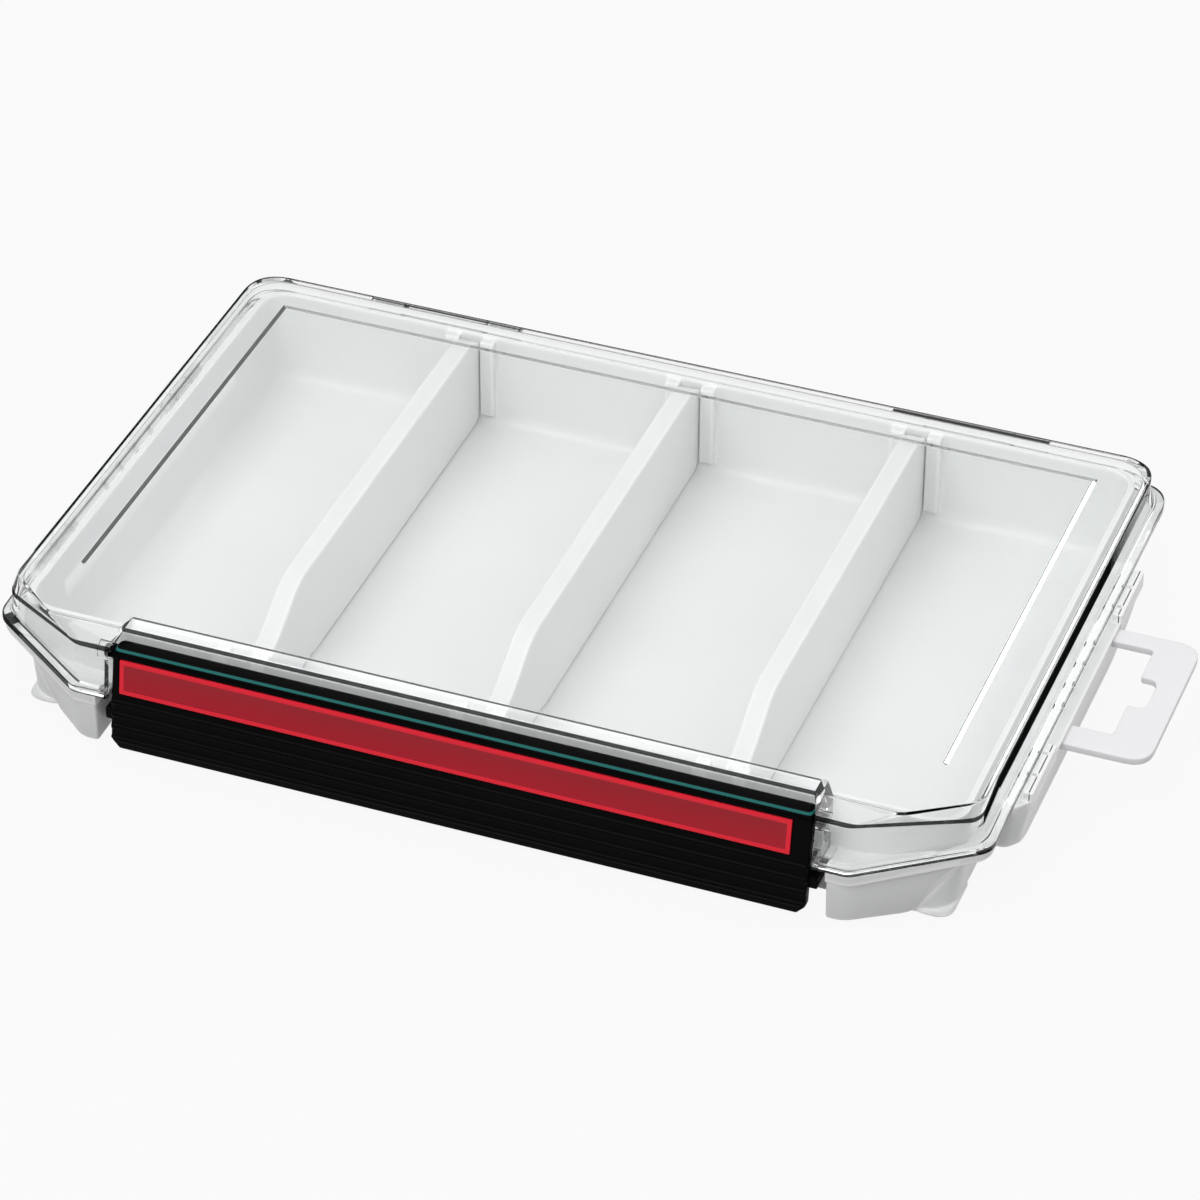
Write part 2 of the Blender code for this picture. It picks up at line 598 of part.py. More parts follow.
def make_tray(material):
    tray = loft("base_tray", tub_rings())
    steps = []
    under = [RIM_UNDER_SIDE, RIM_UNDER_CORNER, RIM_UNDER_FRONT]
    over = [SEAM_SIDE - SEAM_GAP, SEAM_CORNER - SEAM_GAP, SEAM_FRONT - SEAM_GAP]
    rim_rings = [rim_ring(under, RIM_BAND), rim_ring(under, 0),
                 rim_ring(over, 0), rim_ring(over, RIM_BAND)]
    rim = loft("rim", rim_rings, flat_caps=False)
    steps.append(("UNION", rim))
    for side in (-1, 1):
        steps.append(("UNION", loft("pod", pod_rings(side, 0, POD_BOTTOM, 0), flat_caps=False)))
        foot = loft("foot", [foot_ring(side, TUB_TOE, FOOT_LIFT), foot_ring(side, 0, TUB_TOE),
                             foot_ring(side, FOOT_PROUD, FOOT_TALL)])
        steps.append(("UNION", foot))
        ear = loft("ear", ear_levels(EAR_BOTTOM, SEAM_SIDE - SEAM_GAP - 0.00005, 0, side))
        steps.append(("UNION", ear))
        for span in ((EAR_BACK - EAR_LUG_LONG, EAR_BACK), (EAR_FRONT, EAR_FRONT + EAR_LUG_LONG)):
            low, high = sorted((side * EAR_INNER, side * EAR_OUT))
            lug = block("lug", (low, span[0], SEAM_SIDE - 0.002), (high, span[1], EAR_TALL))
            steps.append(("UNION", lug))
        for y in SLIT_YS:
            low, high = sorted((side * (EAR_INNER - 0.0003), side * (EAR_OUT - 0.0005)))
            slit = block("slit", (low, y - SLIT_WIDE / 2, SEAM_SIDE),
                         (high, y + SLIT_WIDE / 2, EAR_TALL + OVERSHOOT))
            steps.append(("DIFFERENCE", slit))
        for inner, outer in ((HINGE_INNER, LID_KNUCKLE_INNER), (LID_KNUCKLE_OUTER, HINGE_OUTER)):
            low, high = sorted((side * inner, side * outer))
            steps.append(("UNION", round_x("knuckle", low, high, HINGE_Y, HINGE_Z, KNUCKLE_RADIUS)))
        low, high = sorted((side * LID_KNUCKLE_INNER, side * LID_KNUCKLE_OUTER))
        relief = round_x("relief", low, high, HINGE_Y, HINGE_Z, KNUCKLE_CLEARANCE)
        steps.append(("DIFFERENCE", relief))
        low, high = sorted((side * (HINGE_INNER - OVERSHOOT), side * (HINGE_OUTER + OVERSHOOT)))
        steps.append(("DIFFERENCE", round_x("bore", low, high, HINGE_Y, HINGE_Z, BORE_RADIUS)))
        pocket_rings = pod_rings(side, SKIRT_WALL, POD_BOTTOM - OVERSHOOT, POCKET_ROOF)
        pocket = loft("pod_pocket", pocket_rings, flat_caps=False)
        steps.append(("DIFFERENCE", pocket))
        low, high = sorted((side * (TUB_SHOULDER_HALF + EAR_INNER_WALL),
                            side * (EAR_BOTTOM_OUT - SKIRT_WALL)))
        pocket = block("ear_pocket", (low, EAR_FRONT + EAR_ROUND, EAR_BOTTOM - OVERSHOOT),
                       (high, EAR_BACK - EAR_ROUND, RIM_UNDER_SIDE - 0.0017))
        steps.append(("DIFFERENCE", pocket))
    steps.append(("DIFFERENCE", loft("cavity", cavity_rings())))
    steps.extend(make_posts())
    tab_low = (TAB_ROOT - PIECE_GAP, TAB_UNDER - PIECE_GAP)
    tab_high = (EAR_OUT + 0.002, TAB_UNDER + TAB_THICK + PIECE_GAP)
    for near, far in ((TAB_SLOT_BACK, TAB_BACK), (TAB_FRONT, TAB_SLOT_FRONT)):
        socket = block("socket", (tab_low[0], near - PIECE_GAP, tab_low[1]),
                       (tab_high[0], far + PIECE_GAP, tab_high[1]))
        steps.append(("DIFFERENCE", socket))
    shape(tray, steps)
    finish(tray, material)
    return tray


def divider_section(inset, floor):
    lean = inset * 1.2
    return [
        (DIVIDER_BACK - DIVIDER_TOE_LONG - inset, floor),
        (DIVIDER_BACK - inset, floor + DIVIDER_TOE),
        (DIVIDER_BACK - inset, DIVIDER_BACK_Z - inset),
        (DIVIDER_BACK_FLAT - inset * 0.3, DIVIDER_TOP - inset),
        (DIVIDER_FRONT_FLAT + inset * 0.5, DIVIDER_TOP - inset),
        (DIVIDER_SLOPE_Y + inset * 0.6, DIVIDER_SLOPE_Z - lean),
        (DIVIDER_FRONT + inset, DIVIDER_FRONT_Z - lean),
        (DIVIDER_FRONT + inset, floor + DIVIDER_HEEL),
        (DIVIDER_FRONT + DIVIDER_HEEL + inset, floor),
    ]


def make_divider(name, middle, material):
    foot = FLOOR_TOP + PIECE_GAP
    divider = prism_x(name, middle - DIVIDER_HALF, middle + DIVIDER_HALF, divider_section(0, foot))
    inner = DIVIDER_HALF - DIVIDER_WALL
    hollow = prism_x("hollow", middle - inner, middle + inner,
                     divider_section(DIVIDER_WALL, foot - OVERSHOOT))
    shape(divider, [("DIFFERENCE", hollow)])
    finish(divider, material)
    return divider


def make_pin(name, side, material):
    low, high = sorted((side * (HINGE_INNER + PIN_INSET), side * (HINGE_OUTER - PIN_INSET)))
    pin = round_x(name, low, high, HINGE_Y, HINGE_Z, PIN_RADIUS)
    finish(pin, material)
    return pin


# The latch face at a height, measured in Y: it leans outwards as it goes down, with the
# shallow bow 4b u(1 - u) along its length u.
def latch_face(z, inward=0.0):
    drop = (LATCH_Z - z) / (LATCH_Z - LATCH_BOTTOM)
    bow = 4 * LATCH_BOW * drop * (1 - drop)
    return LATCH_Y - LATCH_BEAD - LATCH_SLOPE * (LATCH_Z - z) - bow + inward


# The latch's section: a round bead over the pivot, then the leaning plate with its ribs.
def latch_section():
    points = []
    for z in sorted(RIB_ZS):
        points.append((latch_face(z - RIB_HALF_TALL), z - RIB_HALF_TALL))
        points.append((latch_face(z, -RIB_OUT), z - RIB_HALF_TALL * 0.4))
        points.append((latch_face(z, -RIB_OUT), z + RIB_HALF_TALL * 0.4))
        points.append((latch_face(z + RIB_HALF_TALL), z + RIB_HALF_TALL))
    start = math.pi + math.atan(LATCH_SLOPE)
    for step in range(13):
        turn = start - step * math.radians(17.5)
        points.append((LATCH_Y + LATCH_BEAD * math.cos(turn), LATCH_Z + LATCH_BEAD * math.sin(turn)))
    start = LATCH_Z - LATCH_BACK_START
    tip = LATCH_BOTTOM + LATCH_TIP_ROUND
    points.append((latch_face(start, LATCH_THICK), start))
    points.append((latch_face(tip, LATCH_THICK), tip))
    points.append((latch_face(LATCH_BOTTOM, LATCH_THICK - LATCH_TIP_ROUND), LATCH_BOTTOM))
    points.append((latch_face(LATCH_BOTTOM, LATCH_TIP_ROUND), LATCH_BOTTOM))
    points.append((latch_face(tip), tip))
    return points


def strip_section(low, high, out, inward):
    return [(latch_face(low, -out), low), (latch_face(high, -out), high),
            (latch_face(high, inward), high), (latch_face(low, inward), low)]


def make_latch(material):
    latch = prism_x("latch", NOTCH_SHIFT - LATCH_HALF, NOTCH_SHIFT + LATCH_HALF, latch_section())
    steps = []
    for side in (-1, 1):
        for edge, up, cut in ((LATCH_BOTTOM, 1, LATCH_CORNER_CUT),
                              (LATCH_Z + LATCH_BEAD, -1, LATCH_TOP_CUT)):
            tip = NOTCH_SHIFT + side * (LATCH_HALF + OVERSHOOT)
            heel = NOTCH_SHIFT + side * (LATCH_HALF - cut - OVERSHOOT)
            wedge = [(heel, edge - up * OVERSHOOT), (tip, edge - up * OVERSHOOT),
                     (tip, edge + up * (cut + OVERSHOOT))]
            rings = [[(x, y, z) for x, z in wedge] for y in (LATCH_Y - 0.009, LATCH_Y + 0.004)]
            steps.append(("DIFFERENCE", loft("corner", rings)))
    recess = strip_section(STRIP_BOTTOM - PIECE_GAP, STRIP_TOP + PIECE_GAP, OVERSHOOT,
                           STRIP_RECESS)
    reach = STRIP_HALF + PIECE_GAP
    low, high = STRIP_SHIFT - reach, STRIP_SHIFT + reach
    steps.append(("DIFFERENCE", prism_x("recess", low, high, recess)))
    root = latch_face(HOOK_TOP, HOOK_ROOT)
    web = [(root, HOOK_UNDER), (root, HOOK_TOP),
           (HOOK_Y - HOOK_ROUND, HOOK_TOP), (HOOK_Y, HOOK_TOP - HOOK_ROUND),
           (HOOK_Y, HOOK_UNDER + HOOK_LEAD), (HOOK_Y - HOOK_LEAD, HOOK_UNDER)]
    low, high = NOTCH_SHIFT - HOOK_HALF, NOTCH_SHIFT + HOOK_HALF
    steps.append(("UNION", prism_x("hook", low, high, web)))
    low, high = NOTCH_SHIFT - STUB_HALF, NOTCH_SHIFT + STUB_HALF
    steps.append(("UNION", round_x("stub", low, high, LATCH_Y, LATCH_Z, STUB_RADIUS)))
    shape(latch, steps)
    finish(latch, material)
    set_origin(latch, (0, LATCH_Y, LATCH_Z))
    return latch


def make_strip(material):
    depth = STRIP_RECESS - PIECE_GAP
    section = strip_section(STRIP_BOTTOM, STRIP_TOP, STRIP_THICK - depth, depth)
    low, high = STRIP_SHIFT - STRIP_HALF, STRIP_SHIFT + STRIP_HALF
    strip = prism_x("latch_strip", low, high, section)
    finish(strip, material)
    set_origin(strip, (0, LATCH_Y, LATCH_Z))
    return strip


# The tab's plan: a round-cornered plate with a stepped hanging slot open towards the tub.
def make_tab(material):
    corners = [
        (TAB_ROOT, TAB_BACK, 0, 0), (TAB_OUT, TAB_BACK, 0, TAB_CORNER),
        (TAB_OUT, TAB_FRONT, 0, TAB_CORNER), (TAB_ROOT, TAB_FRONT, 0, 0),
        (TAB_ROOT, TAB_SLOT_FRONT, 0, 0), (TAB_SLOT_OUT, TAB_SLOT_FRONT, 0, TAB_SLOT_CUT),
        (TAB_SLOT_OUT, TAB_BUMP_FRONT, 0, 0), (TAB_BUMP_OUT, TAB_BUMP_FRONT, 0, TAB_BUMP_CUT),
        (TAB_BUMP_OUT, TAB_BUMP_BACK, 0, TAB_BUMP_CUT), (TAB_SLOT_OUT, TAB_BUMP_BACK, 0, 0),
        (TAB_SLOT_OUT, TAB_SLOT_BACK, 0, TAB_SLOT_CUT), (TAB_ROOT, TAB_SLOT_BACK, 0, 0),
    ]
    plan = [(point.x, point.y) for point in outline(corners)]
    tab = prism_z("hang_tab", TAB_UNDER, TAB_UNDER + TAB_THICK, plan)
    finish(tab, material)
    return tab


def hang_on(child, parent):
    bpy.context.view_layer.update()
    child.parent = parent
    child.matrix_parent_inverse = parent.matrix_world.inverted()


def main():
    clear_scene()
    pale = plastic("pale_plastic", (0.76, 0.77, 0.78), 0.35)
    clear = plastic("clear_plastic", (0.93, 0.95, 0.95), 0.05, alpha=0.35)
    black = plastic("black_plastic", (0.012, 0.012, 0.014), 0.30)
    red = plastic("red_plastic", (0.45, 0.02, 0.03), 0.35)
    steel = plastic("pin_steel", (0.62, 0.62, 0.63), 0.30, metallic=1.0)
    milky = plastic("milky_plastic", (0.84, 0.84, 0.86), 0.40)
    tray = make_tray(pale)
    lid = make_lid(clear)
    latch = make_latch(black)
    strip = make_strip(red)
    hang_on(latch, lid)
    hang_on(strip, latch)
    hang_on(lid, tray)
    names = (("divider_left", -1), ("divider_middle", 0), ("divider_right", 1))
    for name, place in names:
        hang_on(make_divider(name, place * DIVIDER_PITCH, pale), tray)
    for name, side in (("hinge_pin_left", -1), ("hinge_pin_right", 1)):
        hang_on(make_pin(name, side, steel), tray)
    hang_on(make_tab(milky), tray)


main()
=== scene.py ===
# Tackle case: pale tub, clear hinged lid, full-width front latch, dividers and a hang tab.
import math

import bmesh
import bpy
import numpy as np
from mathutils import Matrix, Vector


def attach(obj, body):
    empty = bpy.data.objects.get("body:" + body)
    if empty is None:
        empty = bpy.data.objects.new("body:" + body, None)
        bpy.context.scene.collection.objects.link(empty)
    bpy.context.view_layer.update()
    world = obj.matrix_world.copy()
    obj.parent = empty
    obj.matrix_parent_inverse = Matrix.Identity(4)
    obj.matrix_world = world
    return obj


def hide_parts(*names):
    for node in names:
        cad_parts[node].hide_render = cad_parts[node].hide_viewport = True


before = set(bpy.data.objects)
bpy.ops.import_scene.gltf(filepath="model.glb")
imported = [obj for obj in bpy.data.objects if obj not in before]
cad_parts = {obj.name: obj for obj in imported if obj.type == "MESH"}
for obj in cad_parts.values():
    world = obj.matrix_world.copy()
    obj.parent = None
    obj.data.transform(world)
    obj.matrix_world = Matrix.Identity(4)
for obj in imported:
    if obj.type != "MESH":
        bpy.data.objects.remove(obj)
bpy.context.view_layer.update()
print("frame loaded with", len(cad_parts), "nodes")

# Sizes are in millimetres, and meshOf turns them into metres. The notch in the lid, the
# latch and the front corners all sit frontShift to one side.
frontShift = -1.3


# The point that lies cut along a side, or just short of halfway where the side is too short.
def cutPoint(here, side, cut):
    reach = np.linalg.norm(side[..., :3], axis=-1, keepdims=True)
    return here + side * np.minimum(cut / np.maximum(reach, 1e-6), 0.49)


# A rounded outline: corner c with cut k becomes (1-t)^2 a + 2t(1-t) c + t^2 b, where a and b
# lie k along its two sides. corners is (..., n, 4) with x, y, z, cut; steps has n entries.
def roundOutline(corners, steps):
    here, cut = corners[..., :3], corners[..., 3:]
    start = cutPoint(here, np.roll(here, 1, axis=-2) - here, cut)
    end = cutPoint(here, np.roll(here, -1, axis=-2) - here, cut)
    pick = np.repeat(np.arange(len(steps)), np.array(steps) + 1)
    t = np.concatenate([np.linspace(0, 1, step + 1) for step in steps])[:, None]
    ring = start[..., pick, :] * (1 - t) ** 2 + end[..., pick, :] * t ** 2
    return ring + here[..., pick, :] * 2 * t * (1 - t)


# Rounds the same way along the other direction: stations is (k, n, d), cuts has k entries
# and the first and last station stay.
def softTrack(stations, cuts, steps=4):
    rows = [stations[:1]]
    t = np.linspace(0, 1, steps + 1)[:, None, None]
    for k in range(1, len(stations) - 1):
        here = stations[k]
        if cuts[k] == 0:
            rows.append(here[None])
            continue
        start = cutPoint(here, stations[k - 1] - here, cuts[k])
        end = cutPoint(here, stations[k + 1] - here, cuts[k])
        rows.append(start * (1 - t) ** 2 + here * 2 * t * (1 - t) + end * t ** 2)
    rows.append(stations[-1:])
    return np.concatenate(rows)


# Quads between neighbouring rings. A capped shell closes its first and last ring with one
# face each; otherwise the last ring joins the first.
def shellOf(rings, capped=True):
    rows, cols = rings.shape[:2]
    row = np.arange(rows - 1 if capped else rows)[:, None]
    col = np.arange(cols)[None, :]
    nextRow, nextCol = (row + 1) % rows, (col + 1) % cols
    quads = np.stack([row * cols + col, row * cols + nextCol,
                      nextRow * cols + nextCol, nextRow * cols + col], axis=-1)
    loops, sizes = quads.reshape(-1), np.full(quads.size // 4, 4)
    if capped:
        loops = np.concatenate([loops, np.arange(cols)[::-1], np.arange(cols) + (rows - 1) * cols])
        sizes = np.concatenate([sizes, [cols, cols]])
    return {"points": rings.reshape(-1, 3), "loops": loops, "sizes": sizes}


def joinShells(shells):
    offsets = np.cumsum([0] + [len(shell["points"]) for shell in shells])
    return {
        "points": np.concatenate([shell["points"] for shell in shells]),
        "loops": np.concatenate([shell["loops"] + o for shell, o in zip(shells, offsets)]),
        "sizes": np.concatenate([shell["sizes"] for shell in shells]),
    }


# The mesh of a shell, in metres, with its faces turned outwards.
def meshOf(name, shell):
    mesh = bpy.data.meshes.new(name)
    mesh.vertices.add(len(shell["points"]))
    mesh.loops.add(len(shell["loops"]))
    mesh.polygons.add(len(shell["sizes"]))
    mesh.vertices.foreach_set("co", (shell["points"] * 0.001).reshape(-1))
    mesh.loops.foreach_set("vertex_index", shell["loops"])
    mesh.polygons.foreach_set("loop_start", np.cumsum(shell["sizes"]) - shell["sizes"])
    if "paintedShade" in shell:
        mesh.attributes.new("paintedShade", "FLOAT", "POINT").data.foreach_set("value", shell["paintedShade"])
    mesh.update(calc_edges=True)
    mesh.validate()
    turned = bmesh.new()
    turned.from_mesh(mesh)
    bmesh.ops.recalc_face_normals(turned, faces=turned.faces)
    turned.to_mesh(mesh)
    turned.free()
    return mesh


def objectOf(name, shell):
    piece = bpy.data.objects.new(name, meshOf(name, shell))
    bpy.context.scene.collection.objects.link(piece)
    return piece


# Adds or cuts tools in order, merges points closer than merge, and keeps only the result.
def carve(piece, tools, merge=0.000002):
    for operation, tool in tools:
        change = piece.modifiers.new(tool.name, "BOOLEAN")
        change.operation, change.solver, change.object = operation, "EXACT", tool
    graph = bpy.context.evaluated_depsgraph_get()
    carved = bpy.data.meshes.new_from_object(piece.evaluated_get(graph))
    piece.modifiers.clear()
    piece.data = carved
    for _, tool in tools:
        bpy.data.objects.remove(tool, do_unlink=True)
    cleaned = bmesh.new()
    cleaned.from_mesh(carved)
    bmesh.ops.remove_doubles(cleaned, verts=cleaned.verts, dist=merge)
    cleaned.to_mesh(carved)
    cleaned.free()


def makePiece(piece, nodes, body, material, angle=30):
    piece.data.materials.clear()
    piece.data.materials.append(material)
    piece.data.shade_smooth()
    piece.data.set_sharp_from_angle(angle=math.radians(angle))
    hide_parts(*nodes)
    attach(piece, body)
    print(piece.name, "made with", len(piece.data.polygons), "faces")


def mirrored(shell):
    return {**shell, "points": shell["points"] * [-1, 1, 1]}


# The corners of the right half and their mirror images. Those in front move sideways by
# frontShift on both halves.
def bothSides(right, front=()):
    right = np.array(right, dtype=float)
    front = np.array(front, dtype=float).reshape(-1, 4)
    mirror, shift = [-1, 1, 1, 1], [frontShift, 0, 0, 0]
    return np.concatenate([right, front + shift, front[::-1] * mirror + shift,
                           right[::-1] * mirror])


# Moves a closed plan's sides inwards by d: each corner moves by d (n1 + n2) / (1 + n1.n2).
def insetPlan(plan, distance):
    side = np.roll(plan, -1, axis=0) - plan
    side /= np.linalg.norm(side, axis=1, keepdims=True)
    area = np.sum(plan[:, 0] * np.roll(plan[:, 1], -1) - plan[:, 1] * np.roll(plan[:, 0], -1))
    normal = np.stack([-side[:, 1], side[:, 0]], axis=1) * np.sign(area)
    earlier = np.roll(normal, 1, axis=0)
    share = 1 + np.sum(normal * earlier, axis=1, keepdims=True)
    return plan + distance * (normal + earlier) / share


# A plan of (u, v, cut) corners carried along w from low to high, with its rim rounded by
# edge. axes names which of u, v and w is x, y and z. The end caps sit 2.5 edges inside.
def prismOf(plan, low, high, edge, axes="uvw", steps=4):
    plan = np.array(plan, dtype=float)
    levels = []
    for w, inset in ((low, 2.5 * edge), (low, 0), (high, 0), (high, 2.5 * edge)):
        flat = insetPlan(plan[:, :2], inset)
        level = np.full(len(plan), w)
        columns = {"u": flat[:, 0], "v": flat[:, 1], "w": level}
        levels.append(np.stack([columns[axis] for axis in axes] + [plan[:, 2]], axis=1))
    tracks = softTrack(np.array(levels), (0, edge, edge, 0))
    return shellOf(roundOutline(tracks, np.where(plan[:, 2] > 0, steps, 0)))


# A box between two opposite corners, with its upright corners cut and its rims rounded.
def blockOf(low, high, edge, cut=0.0):
    plan = [(low[0], low[1], cut), (high[0], low[1], cut), (high[0], high[1], cut),
            (low[0], high[1], cut)]
    return prismOf(plan, low[2], high[2], edge, steps=3)


# Circles of the given radii at the given x, about the axis through y, z.
def turnedOf(xs, radii, y, z, sides=40, capped=True):
    turn = np.linspace(0, 2 * math.pi, sides, endpoint=False)
    rings = np.zeros((len(xs), sides, 3))
    rings[..., 0] = np.array(xs)[:, None]
    rings[..., 1] = y + np.array(radii)[:, None] * np.cos(turn)
    rings[..., 2] = z + np.array(radii)[:, None] * np.sin(turn)
    return shellOf(rings, capped)


# A ring-shaped bar along x: bore and outer are its radii, and edge bevels its four rims.
def tubeOf(low, high, y, z, outer, bore, edge=0.25):
    xs = [low + edge, low, low, low + edge, high - edge, high, high, high - edge]
    radii = [bore, bore + edge, outer - edge, outer, outer, outer - edge, bore + edge, bore]
    return turnedOf(xs, radii, y, z, capped=False)


# Fills a node's sockets: a number is set, and another node's output is linked.
def fill(tree, node, inputs):
    for name, value in inputs.items():
        if isinstance(value, bpy.types.NodeSocket):
            tree.links.new(value, node.inputs[name])
        else:
            node.inputs[name].default_value = value
    return node


def nodeOf(tree, kind, inputs=None, **settings):
    node = tree.nodes.new("ShaderNode" + kind)
    for name, value in settings.items():
        setattr(node, name, value)
    return fill(tree, node, inputs or {})


def mathOf(tree, operation, *values):
    return nodeOf(tree, "Math", dict(enumerate(values)), operation=operation).outputs[0]


def noiseOf(tree, vector, scale, detail=3.0, rough=0.5):
    inputs = {"Vector": vector, "Scale": scale, "Detail": detail, "Roughness": rough}
    return nodeOf(tree, "TexNoise", inputs).outputs["Fac"]


# Carries a value from one range of numbers to another, and holds it at the ends.
def rangeOf(tree, value, source, target, kind="LINEAR"):
    ends = dict(zip(("From Min", "From Max", "To Min", "To Max"), (*source, *target)))
    node = nodeOf(tree, "MapRange", {"Value": value, **ends}, interpolation_type=kind)
    return node.outputs["Result"]


def mixOf(tree, factor, first, second):
    first, second = ((*value, 1.0) if isinstance(value, tuple) else value
                     for value in (first, second))
    inputs = {"Factor": factor, "A": first, "B": second}
    return nodeOf(tree, "Mix", inputs, data_type="RGBA").outputs["Result"]


# A new node group: ins gives each input's name, kind and value, outs each output's name.
def groupOf(name, ins, outs):
    group = bpy.data.node_groups.new(name, "ShaderNodeTree")
    add = group.interface.new_socket
    for label, kind, value in ins:
        socket = add(name=label, in_out="INPUT", socket_type="NodeSocket" + kind)
        socket.default_value = value
    for label in outs:
        add(name=label, in_out="OUTPUT", socket_type="NodeSocketFloat")
    given, made = group.nodes.new("NodeGroupInput"), group.nodes.new("NodeGroupOutput")
    return group, given.outputs, made


# Moulded plastic: a fine spark-eroded grain with a share of a slow cloud in its height, and
# the cloud by itself.
def mouldGrainGroup(cloudShare=0.35):
    group, given, made = groupOf(
        "mouldGrain", [("Vector", "Vector", (0, 0, 0)), ("Grain Scale", "Float", 2600.0),
                       ("Cloud Scale", "Float", 28.0)], ["Height", "Cloud"])
    grain = noiseOf(group, given["Vector"], given["Grain Scale"], 2.0, 0.6)
    slow = noiseOf(group, given["Vector"], given["Cloud Scale"])
    share = mathOf(group, "MULTIPLY", slow, cloudShare)
    fill(group, made, {"Height": mathOf(group, "ADD", grain, share), "Cloud": slow})
    return group


streaks = {"turn": (0.3, 0.2, 0.6), "stretch": (60, 1400, 700), "gain": 9.0, "start": -5.3,
           "patchScale": 45.0, "patchGain": 4.0, "patchStart": -1.8}


# Handling marks: thin streaks in one direction, kept to a few patches.
def handlingGroup():
    group, given, made = groupOf(
        "handling", [("Vector", "Vector", (0, 0, 0)), ("Amount", "Float", 1.0)], ["Mask"])
    stretch = nodeOf(group, "Mapping", {
        "Vector": given["Vector"], "Rotation": streaks["turn"], "Scale": streaks["stretch"]})
    streak = noiseOf(group, stretch.outputs["Vector"], 1.0, 2.0)
    patch = noiseOf(group, given["Vector"], streaks["patchScale"], 2.0)
    thin = mathOf(group, "MULTIPLY_ADD", streak, streaks["gain"], streaks["start"])
    thin = mathOf(group, "SMOOTH_MIN", thin, 1.0, 0.1)
    near = mathOf(group, "MULTIPLY_ADD", patch, streaks["patchGain"], streaks["patchStart"])
    both = mathOf(group, "MULTIPLY", mathOf(group, "MAXIMUM", thin, 0.0),
                  mathOf(group, "MINIMUM", mathOf(group, "MAXIMUM", near, 0.0), 1.0))
    fill(group, made, {"Mask": mathOf(group, "MULTIPLY", both, given["Amount"])})
    return group


# Painted highlight along outside edges, found by looking a short way into the part: near an
# edge there is less of it.
def paintedEdgeHighlightGroup():
    group, given, made = groupOf(
        "paintedEdgeHighlight", [("Width", "Float", 0.0008), ("Amount", "Float", 1.0)], ["Mask"])
    within = nodeOf(group, "AmbientOcclusion", {"Distance": given["Width"]}, inside=True,
                    only_local=True, samples=4)
    edge = mathOf(group, "SUBTRACT", 1.0, within.outputs["AO"])
    paintedEdgeLight = mathOf(group, "MULTIPLY", edge, given["Amount"])
    fill(group, made, {"Mask": mathOf(group, "MINIMUM", paintedEdgeLight, 1.0)})
    return group


mouldGrain, handling, paintedEdgeHighlight = mouldGrainGroup(), handlingGroup(), paintedEdgeHighlightGroup()


def materialOf(name):
    material = bpy.data.materials.new(name)
    material.use_nodes = True
    tree = material.node_tree
    where = nodeOf(tree, "TexCoord").outputs["Object"]
    return material, tree, tree.nodes["Principled BSDF"], where


# What the moulded finishes have in common, and the pale painted edge highlight of some.
moulded = {"grainScale": 2600.0, "marks": 0.08, "rough": 0.30, "roughSpread": 0.10,
           "bump": 0.10, "bumpDepth": 0.0002, "coat": 0.0, "coatRough": 0.12}
# A pale colour painted along outside edges as a highlight, with its width and strength.
edgeHighlightLook = {"paintedEdgeLight": (0.97, 0.975, 0.975), "paintedEdgeLightWidth": 0.0009, "paintedEdgeLightAmount": 1.8}


# The finish that every opaque moulded part shares: clouded colour, grain bump and a
# roughness that handling marks disturb. Parts with an edge light colour get it painted along
# their edges as a highlight.
def mouldedPlastic(name, look):
    material, tree, shader, where = materialOf(name)
    scales = {"Grain Scale": look["grainScale"], "Cloud Scale": look["cloudScale"]}
    grain = nodeOf(tree, "Group", {"Vector": where, **scales}, node_tree=mouldGrain).outputs
    marks = nodeOf(tree, "Group", {"Vector": where, "Amount": look["marks"]}, node_tree=handling)
    colour = mixOf(tree, grain["Cloud"], look["dark"], look["light"])
    # Painted highlight: a pale colour along outside edges.
    if "paintedEdgeLight" in look:
        paintedEdgeLightNode = nodeOf(tree, "Group", {"Width": look["paintedEdgeLightWidth"], "Amount": look["paintedEdgeLightAmount"]},
                      node_tree=paintedEdgeHighlight)
        colour = mixOf(tree, paintedEdgeLightNode.outputs["Mask"], colour, look["paintedEdgeLight"])
    rough = mathOf(tree, "MULTIPLY_ADD", grain["Cloud"], look["roughSpread"], look["rough"])
    bump = nodeOf(tree, "Bump", {"Strength": look["bump"], "Distance": look["bumpDepth"],
                                 "Height": grain["Height"]})
    fill(tree, shader, {
        "Base Color": colour, "Roughness": mathOf(tree, "ADD", rough, marks.outputs["Mask"]),
        "Normal": bump.outputs["Normal"], "Specular IOR Level": look["shine"],
        "Coat Weight": look["coat"], "Coat Roughness": look["coatRough"]})
    return material, tree, shader, where, colour


stage = {
    "camera": (0.30122, -0.78990, 0.63092), "azimuth": 20.673, "elevation": 36.305,
    "roll": 0.249, "lens": 152.765, "sensor": 36.0, "clip": (0.05, 20.0),
    "floor": (0.38, 0.38, 0.38), "floorGlow": 0.925, "floorRough": 0.9, "floorShine": 0.1,
    "floorHalf": 6000.0, "floorDrop": 0.05,
    "skyHeights": (0.0, 0.55), "skyLight": (0.12, 0.66),
    "ceilingHeights": (0.30, 0.62), "ceilingLight": (0.03, 1.0),
}


